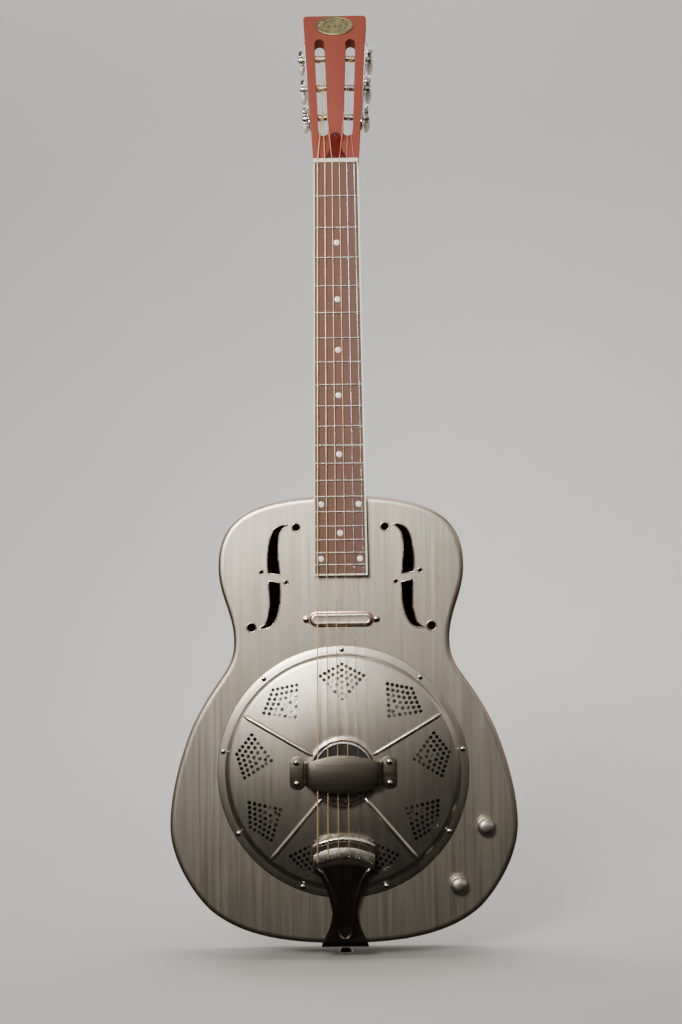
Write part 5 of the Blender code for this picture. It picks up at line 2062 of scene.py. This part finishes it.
# ---- tuners ----
@dataclass
class Tuners(Maker):
    """Both tuner plates, the six worms, buttons, gears and string rollers."""

    worms: Triple = (59.6, 94.6, 129.6)
    drop: float = 7.3
    worm_x: float = 5.5
    post_y: float = 8.5
    post: float = 3.2
    gear: float = 4.6
    teeth: int = 14
    button: float = 35.0

    def plate(self, name: str, out: int) -> None:
        """One side's plate with its ears and wood screws.

        Args:
            name: left or right.
            out: 1 for the right side and -1 for the left.
        """
        frame = LAYOUT.side_frame(out)
        low, high = self.worms[0] - 20.5, self.worms[-1] + 14.5
        outline = [(y + 9.0, z + (low + high) / 2) for y, z in stadium(8.6, (high - low) / 2)]
        side = Matrix(((0, 0, out, 0), (1, 0, 0, 0), (0, 1, 0, 0), (0, 0, 0, 1)))
        foot = frame @ Matrix.Translation((0.3 * out, 0, 0)) @ side
        parts = [Bench.slab("plate", outline, 1.4, foot, 0.35)]
        for z in self.worms:
            for low_y, high_y in ((-1.0, 3.3), (13.7, 17.4)):
                ear = [(0.9, -3.2), (6.2, -3.4), (7.8, -2.8), (8.8, -1.4)]
                ear += [(8.8, 1.4), (7.8, 2.8), (6.2, 3.4)]
                ear = [(x * out, height + z) for x, height in ear + [(0.9, 3.2)]]
                place = frame @ Matrix.Translation((0, high_y, 0)) @ STAND
                parts.append(Bench.slab("ear", ear, high_y - low_y, place))
        item = Bench.join(f"tuner_rail_{name}", parts)
        tools = []
        for z in self.worms:
            place = frame @ Matrix.Translation((self.worm_x * out, 25, z)) @ STAND
            tools.append(Bench.slab("worm_bore", oval(1.8, 1.8, 24), 30.0, place))
        self.clean(item)
        Bench.carve(item, *tools)
        Bench.soften(item, 0.25, 2, 50)
        self.keep(item, Finishes.bright, "bright_nickel", f"tuner_plate_{name}", angle=30)
        screw = slotted_screw("screw", 2.0, 0.9)
        spots = [(9.0, low + 4.4), (9.0, high - 4.4)]
        spots += [(9.0, (a + b) / 2 + 4.0) for a, b in zip(self.worms, self.worms[1:])]
        face = frame @ Matrix.Translation((1.7 * out, 0, 0)) @ side
        places = [face @ Matrix.Translation((y, z, 0)) for y, z in spots]
        screws = Bench.many(f"rail_screws_{name}", screw, places)
        Bench.edit(screws)
        Bench.done()
        self.keep(screws, Finishes.steel, "steel")

    def clean(self, item: Thing) -> None:
        """Turn all faces of a joined piece outwards."""
        Bench.edit(item)
        Bench.done()

    def worm(self, number: int, out: int, z: float) -> None:
        """One worm with its thread, on its shaft.

        Args:
            number: the string's number.
            out: 1 for the right side and -1 for the left.
            z: the shaft's height on the head.
        """
        frame = LAYOUT.side_frame(out)
        far = self.button
        profile = [(0, -2.0), (1.3, -2.0), (1.6, -1.7), (1.6, 3.6), (1.9, 3.9), (1.9, 13.1)]
        profile += [(1.6, 13.4), (1.6, far - 9.4), (2.6, far - 9.2), (2.6, far - 7.4)]
        profile.append((1.6, far - 7.2))
        profile += [(1.6, self.button + 2.0), (0, self.button + 2.0)]
        place = frame @ Matrix.Translation((self.worm_x * out, 0, z))
        place = place @ Matrix.Rotation(-math.pi / 2, 4, "X")
        shaft = Bench.turn("shaft", profile, place, 32)
        line = []
        turns, count = 6, 16
        for i in range(turns * count + 1):
            angle = math.tau * i / count
            rise = 4.3 + 8.4 * i / (turns * count)
            line.append((1.85 * math.cos(angle), 1.85 * math.sin(angle), rise))
        width = [min(1.0, 0.3 + 0.1 * min(i, len(line) - 1 - i)) for i in range(len(line))]
        thread = Bench.wire("thread", line, 0.42, place, 2, width)
        item = Bench.join(f"worm_{number}", [shaft, thread])
        body = Body.TUNER.named(number)
        self.keep(item, Finishes.bright, "bright_nickel", f"tuner_worm_{number}", body=body)

    def button_pattern(self) -> Thing:
        """One oval button round the shaft's axis, in millimetres.

        Returns:
            The button, to be copied.
        """
        rings = []
        for i in range(13):
            share = -1 + 2 * i / 12
            bulge = math.sqrt(max(1 - abs(share) ** 2.6, 0.0))
            wide, tall = 2.0 + 1.75 * bulge, 6.0 + 3.0 * bulge
            rings.append([(wide * x, tall * z, 6.5 * share) for x, z in oval(1.0, 1.0, 40)])
        return Bench.soften(Bench.stack("button", rings, Matrix.Identity(4)), 0.5 / MM, 2, 40)

    def roller(self, number: int, out: int, spot: int) -> None:
        """One toothed gear with the post that its string winds on.

        Args:
            number: the string's number.
            out: 1 for the right side and -1 for the left.
            spot: which of the three places on its side, from the nut.
        """
        frame = LAYOUT.side_frame(out)
        z = self.worms[spot] - self.drop
        middle = self.slot_middle(z)
        reach = LAYOUT.head_half_at(z) - middle + 5.2 + 4.2
        turn = Matrix.Rotation(math.pi / 2 * out, 4, "Y")
        place = frame @ Matrix.Translation((0, self.post_y, z)) @ turn
        outline = []
        for i in range(self.teeth):
            rim = self.gear
            for share, radius in ((-0.30, 3.75), (-0.16, rim), (0.16, rim), (0.30, 3.75)):
                angle = math.tau * (i + share) / self.teeth
                outline.append((radius * math.cos(angle), radius * math.sin(angle)))
        wheel = Bench.slab("wheel", outline, 3.8, place @ Matrix.Translation((0, 0, 3.6)), 0.25)
        profile = [(0, 8.4), (1.2, 8.4), (1.9, 8.0), (2.0, 2.9), (3.1, 2.5), (self.post, 2.2)]
        profile += [(self.post, -reach + 0.5), (self.post - 0.5, -reach), (0, -reach)]
        post = Bench.turn("post", profile, place, 40)
        item = Bench.join(f"roller_{number}_gear", [wheel, post])
        body = Body.ROLLER.named(number)
        self.keep(item, Finishes.gear, "steel", f"string_roller_{number}", body=body, angle=30)
        screw = slotted_screw("screw", 1.7, 0.7)
        cap = Bench.many(f"gear_screw_{number}", screw, [place @ Matrix.Translation((0, 0, 8.4))])
        self.keep(cap, Finishes.steel, "steel", body=body)

    def slot_middle(self, z: float) -> float:
        """How far out the slot's middle lies at a height above the nut."""
        return 13.0 + (16.9 - 13.0) * (z - 30.4) / 112.0

    def windings(
        self, number: int, out: int, spot: int, radius: float, x_post: float, finish: Finish
    ) -> None:
        """The string's turns round its post.

        Args:
            number: the string's number.
            out: 1 for the right side and -1 for the left.
            spot: which of the three places on its side, from the nut.
            radius: the string's half thickness.
            x_post: where the string leaves the roller.
            finish: the string's finish.
        """
        frame = LAYOUT.side_frame(out)
        z = self.worms[spot] - self.drop
        start = LAYOUT.head_half_at(z) - abs(x_post)
        turn = Matrix.Rotation(math.pi / 2 * out, 4, "Y")
        place = frame @ Matrix.Translation((0, self.post_y, z)) @ turn
        pitch = radius * 2.08
        wall = LAYOUT.head_half_at(z) - self.slot_middle(z) - 5.0
        turns = max(1, min(4, int((start - wall - pitch) / pitch)))
        line = []
        for i in range(turns * 20 + 1):
            angle = math.tau * i / 20
            away = self.post + radius * 0.96
            rise = pitch * (1.1 + i / 20) - start
            line.append((away * math.cos(angle), away * math.sin(angle), rise))
        item = Bench.wire(f"winding_{number}", line, radius, place, 2)
        slot = "bronze_string" if number > 2 else "steel_string"
        self.keep(item, finish, slot, body=Body.ROLLER.named(number), angle=60)

    def build(self) -> None:
        """Make both sides' tuners."""
        for name, out in (("left", -1), ("right", 1)):
            self.plate(name, out)
        pattern = self.button_pattern()
        for index, spot in enumerate(Strings.posts):
            number, out = 6 - index, -1 if index < 3 else 1
            self.worm(number, out, self.worms[spot])
            frame = LAYOUT.side_frame(out)
            place = frame @ Matrix.Translation((self.worm_x * out, self.button, self.worms[spot]))
            place = place @ Matrix.Rotation(-math.pi / 2, 4, "X")
            button = Bench.copy(pattern, f"button_{number}", place)
            body = Body.TUNER.named(number)
            node = f"tuner_button_{number}"
            self.keep(button, Finishes.button, "button_pearl", node, body=body, angle=50)
            self.roller(number, out, spot)
            finish = Finishes.wound if index < 4 else Finishes.plain
            self.windings(number, out, spot, Strings.gauges[index], Strings.post_x[index], finish)
        bpy.data.objects.remove(pattern)


# ---- strings ----
@dataclass
class Strings(Maker):
    """The six strings from their posts to the tailpiece."""

    gauges: tuple[float, ...] = (0.71, 0.56, 0.43, 0.33, 0.23, 0.205)
    posts: tuple[int, ...] = (0, 1, 2, 2, 1, 0)
    post_x: tuple[float, ...] = (-14.6, -14.4, -15.6, 15.6, 14.4, 14.6)
    worms: Triple = (59.6, 94.6, 129.6)
    at_bridge: float = 24.2

    def line(self, index: int) -> list[Vector]:
        """One string's corners in the world, from its post to the tailpiece.

        Args:
            index: 0 for the string on the left.

        Returns:
            The corners in metres.
        """
        radius = self.gauges[index]
        z = self.worms[self.posts[index]] - 7.3
        x_post = self.post_x[index]
        sink = (LAYOUT.head_half_at(z) - abs(x_post)) * math.sin(LAYOUT.taper)
        post = HEAD @ Vector((x_post, 8.5 - 3.2 - radius - 0.15, z + sink))
        nut = NECK @ Vector((-19.05 + 38.1 * index / 5, -1.4 - radius - 0.15, 2.0))
        above = self.at_bridge - self.gauges[0] + radius
        saddle = BODY @ Vector((-26.0 + 52.0 * index / 5, -above, -LAYOUT.cone))
        x = -27.25 + 54.5 * index / 5
        drop = Tailpiece.bow(x)
        tail = BODY @ Vector((x, -20.5 - radius, -722.0 - drop))
        end = BODY @ Vector((x, -18.4, -724.2 - drop))
        return [post, nut, saddle, tail, end]

    def build(self) -> None:
        """Draw every string."""
        for index, radius in enumerate(self.gauges):
            corners = self.line(index)
            points = [corners[0]]
            for before, corner, after in zip(corners, corners[1:], corners[2:]):
                bend = 0.8 * MM
                points.append(corner + (before - corner).normalized() * bend)
                points.append(corner.copy())
                points.append(corner + (after - corner).normalized() * bend)
            points.append(corners[-1])
            points = [point / MM for point in points]
            number = 6 - index
            item = Bench.wire(f"string_{number}_wire", points, radius, Matrix.Scale(MM, 4), 3)
            finish = Finishes.wound if index < 4 else Finishes.plain
            slot = "bronze_string" if index < 4 else "steel_string"
            self.keep(item, finish, slot, f"string_{number}", angle=60)


# ---- studio ----
@dataclass
class Studio:
    """The pale floor and backdrop, the soft lights and the camera."""

    target: Triple = (0.0007, 0.0, -0.3672)
    distance: float = 2.0
    elevation: float = -1.46
    azimuth: float = 0.75
    roll: float = -0.71
    lens: float = 66.45
    floor: float = -0.8343

    def ground(self) -> None:
        """One sheet that runs back along the floor and curves up behind."""
        Bench.clear()
        bpy.ops.mesh.primitive_plane_add(size=1)
        item = bpy.context.object
        item.name = item.data.name = "studio_ground"
        profile = [(-14.0, 0.0), (0.9, 0.0)]
        for i in range(1, 17):
            turn = math.pi / 2 * i / 16
            profile.append((0.9 + 1.4 * math.sin(turn), 1.4 * (1 - math.cos(turn))))
        profile.append((2.3, 4.2))
        bpy.ops.object.mode_set(mode="EDIT")
        bpy.ops.mesh.select_mode(type="VERT")
        bpy.ops.mesh.select_all(action="SELECT")
        bpy.ops.mesh.merge(type="CENTER")
        bpy.ops.transform.translate(value=(-9.0, profile[0][0], profile[0][1]))
        for a, b in zip(profile, profile[1:]):
            step = (0, b[0] - a[0], b[1] - a[1])
            bpy.ops.mesh.extrude_vertices_move(TRANSFORM_OT_translate={"value": step})
        bpy.ops.mesh.select_all(action="SELECT")
        bpy.ops.mesh.extrude_region_move(TRANSFORM_OT_translate={"value": (18.0, 0, 0)})
        Bench.done()
        Bench.place(item, Matrix.Translation((0, 0, self.floor)))
        item.data.materials.append(Finishes.ground.material())
        Bench.smooth(item, 30)
        item.visible_glossy = False

    def room(self) -> None:
        """A pale round wall far off, there only to be seen behind the floor."""
        Bench.clear()
        bpy.ops.mesh.primitive_cylinder_add(
            vertices=96, radius=8.5, depth=9.0, end_fill_type="NOTHING"
        )
        item = bpy.context.object
        item.name = item.data.name = "studio_room"
        Bench.place(item, Matrix.Translation((0, 0, self.floor + 4.45)))
        item.data.materials.append(Finishes.ground.material())
        Bench.smooth(item, 30)
        item.visible_glossy = item.visible_diffuse = item.visible_shadow = False

    def light(
        self, name: str, spot: Point, aim: Point, size: Pair, power: float,
        tint: Point, spread: float = 180.0,
    ) -> None:
        """One soft rectangular light.

        Args:
            name: the light's name.
            spot: where it stands, in metres.
            aim: the point that it faces.
            size: its width and height.
            power: its strength in watts.
            tint: its colour.
            spread: how far it fans out, in degrees.
        """
        Bench.clear()
        bpy.ops.object.light_add(type="AREA", location=spot)
        lamp = bpy.context.object
        lamp.name = lamp.data.name = name
        lamp.data.shape = "RECTANGLE"
        lamp.data.size, lamp.data.size_y = size
        lamp.data.energy = power
        lamp.data.color = tint
        lamp.data.spread = math.radians(spread)
        way = Vector(aim) - Vector(spot)
        lamp.rotation_euler = way.to_track_quat("-Z", "Y").to_euler()

    def lights(self) -> None:
        """A key from the upper left, one overhead, a weak fill, and lights for what is behind."""
        warm = (1.0, 0.97, 0.91)
        self.light("key", (-0.62, -2.1, 0.42), (0, 0, -0.2), (0.8, 0.8), 4.2, warm, 38.0)
        self.light("overhead", (0.2, -0.75, 1.3), (0, 0, -0.4), (1.3, 0.6), 4.0, (1.0, 0.99, 0.96))
        self.light("fill", (2.1, -1.5, 0.1), (0, 0, -0.4), (0.35, 1.6), 0.7, (1.0, 0.93, 0.86))
        self.light("backdrop", (0.0, 0.7, 2.2), (0, 2.1, 0.0), (3.4, 0.9), 42.0, (1.0, 0.99, 0.98))
        self.light("rear", (-1.2, 1.3, 0.9), (0, 0.1, -0.5), (0.9, 0.9), 7.0, (1.0, 0.98, 0.95))
        self.air()

    def air(self) -> None:
        """Soft light from all round, brighter from above than from below."""
        world = bpy.context.scene.world or bpy.data.worlds.new("studio_air")
        bpy.context.scene.world = world
        world.use_nodes = True
        tree = world.node_tree
        way = tree.nodes.new("ShaderNodeTexCoord")
        split = tree.nodes.new("ShaderNodeSeparateXYZ")
        level = tree.nodes.new("ShaderNodeMapRange")
        ramp = tree.nodes.new("ShaderNodeValToRGB")
        level.inputs["From Min"].default_value = -0.5
        level.inputs["From Max"].default_value = 0.5
        stops = ((0.30, 0.008), (0.50, 0.03), (0.60, 0.13), (0.72, 0.50), (0.84, 0.95), (1.0, 0.4))
        while len(ramp.color_ramp.elements) < len(stops):
            ramp.color_ramp.elements.new(0.5)
        for element, (at, shade) in zip(ramp.color_ramp.elements, stops):
            element.position = at
            element.color = (shade, shade * 0.965, shade * 0.90, 1)
        tree.links.new(way.outputs["Generated"], split.inputs[0])
        tree.links.new(split.outputs["Z"], level.inputs["Value"])
        tree.links.new(level.outputs["Result"], ramp.inputs["Fac"])
        behind = tree.nodes.new("ShaderNodeMapRange")
        behind.inputs["From Max"].default_value = 0.8
        mixed = tree.nodes.new("ShaderNodeMix")
        mixed.data_type = "RGBA"
        mixed.inputs[7].default_value = (0.34, 0.33, 0.305, 1)
        tree.links.new(split.outputs["Y"], behind.inputs["Value"])
        tree.links.new(behind.outputs["Result"], mixed.inputs[0])
        tree.links.new(ramp.outputs["Color"], mixed.inputs[6])
        tree.links.new(mixed.outputs[2], tree.nodes["Background"].inputs["Color"])
        tree.nodes["Background"].inputs["Strength"].default_value = 0.75

    def camera(self) -> None:
        """The camera at the object's own viewing angle."""
        turn, rise = math.radians(self.azimuth), math.radians(self.elevation)
        level = math.cos(rise)
        back = Vector((math.sin(turn) * level, -math.cos(turn) * level, math.sin(rise)))
        spot = Vector(self.target) + back * self.distance
        right = (-back).cross(Vector((0, 0, 1))).normalized()
        up = right.cross(-back)
        lean = math.radians(self.roll)
        side = math.cos(lean) * right + math.sin(lean) * up
        top = -math.sin(lean) * right + math.cos(lean) * up
        data = bpy.data.cameras.new("studio_camera")
        data.lens = self.lens
        data.sensor_width = 36.0
        data.clip_start, data.clip_end = 0.05, 50.0
        camera = bpy.data.objects.new("studio_camera", data)
        bpy.context.scene.collection.objects.link(camera)
        axes = Matrix((side, top, back)).transposed().to_4x4()
        camera.matrix_world = Matrix.Translation(spot) @ axes
        bpy.context.scene.camera = camera

    def build(self) -> None:
        """Set up the floor, lights and camera."""
        self.camera()
        self.ground()
        self.room()
        self.lights()


def main() -> None:
    """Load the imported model, build every sub-assembly in order and set up the studio."""
    logging.basicConfig(level=logging.INFO, format="%(message)s", stream=sys.stdout)
    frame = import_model()
    Studio().build()
    nodes = frame["nodes"]
    for maker in (
        BodyShell(nodes), ConeAndCover(nodes), PickupAndControls(nodes), Tailpiece(nodes),
        Neck(nodes), Tuners(nodes), Strings(nodes),
    ):
        maker.build()
        LOG.info("%s: %d pieces", type(maker).__name__, maker.count)


if __name__ == "__main__":
    main()
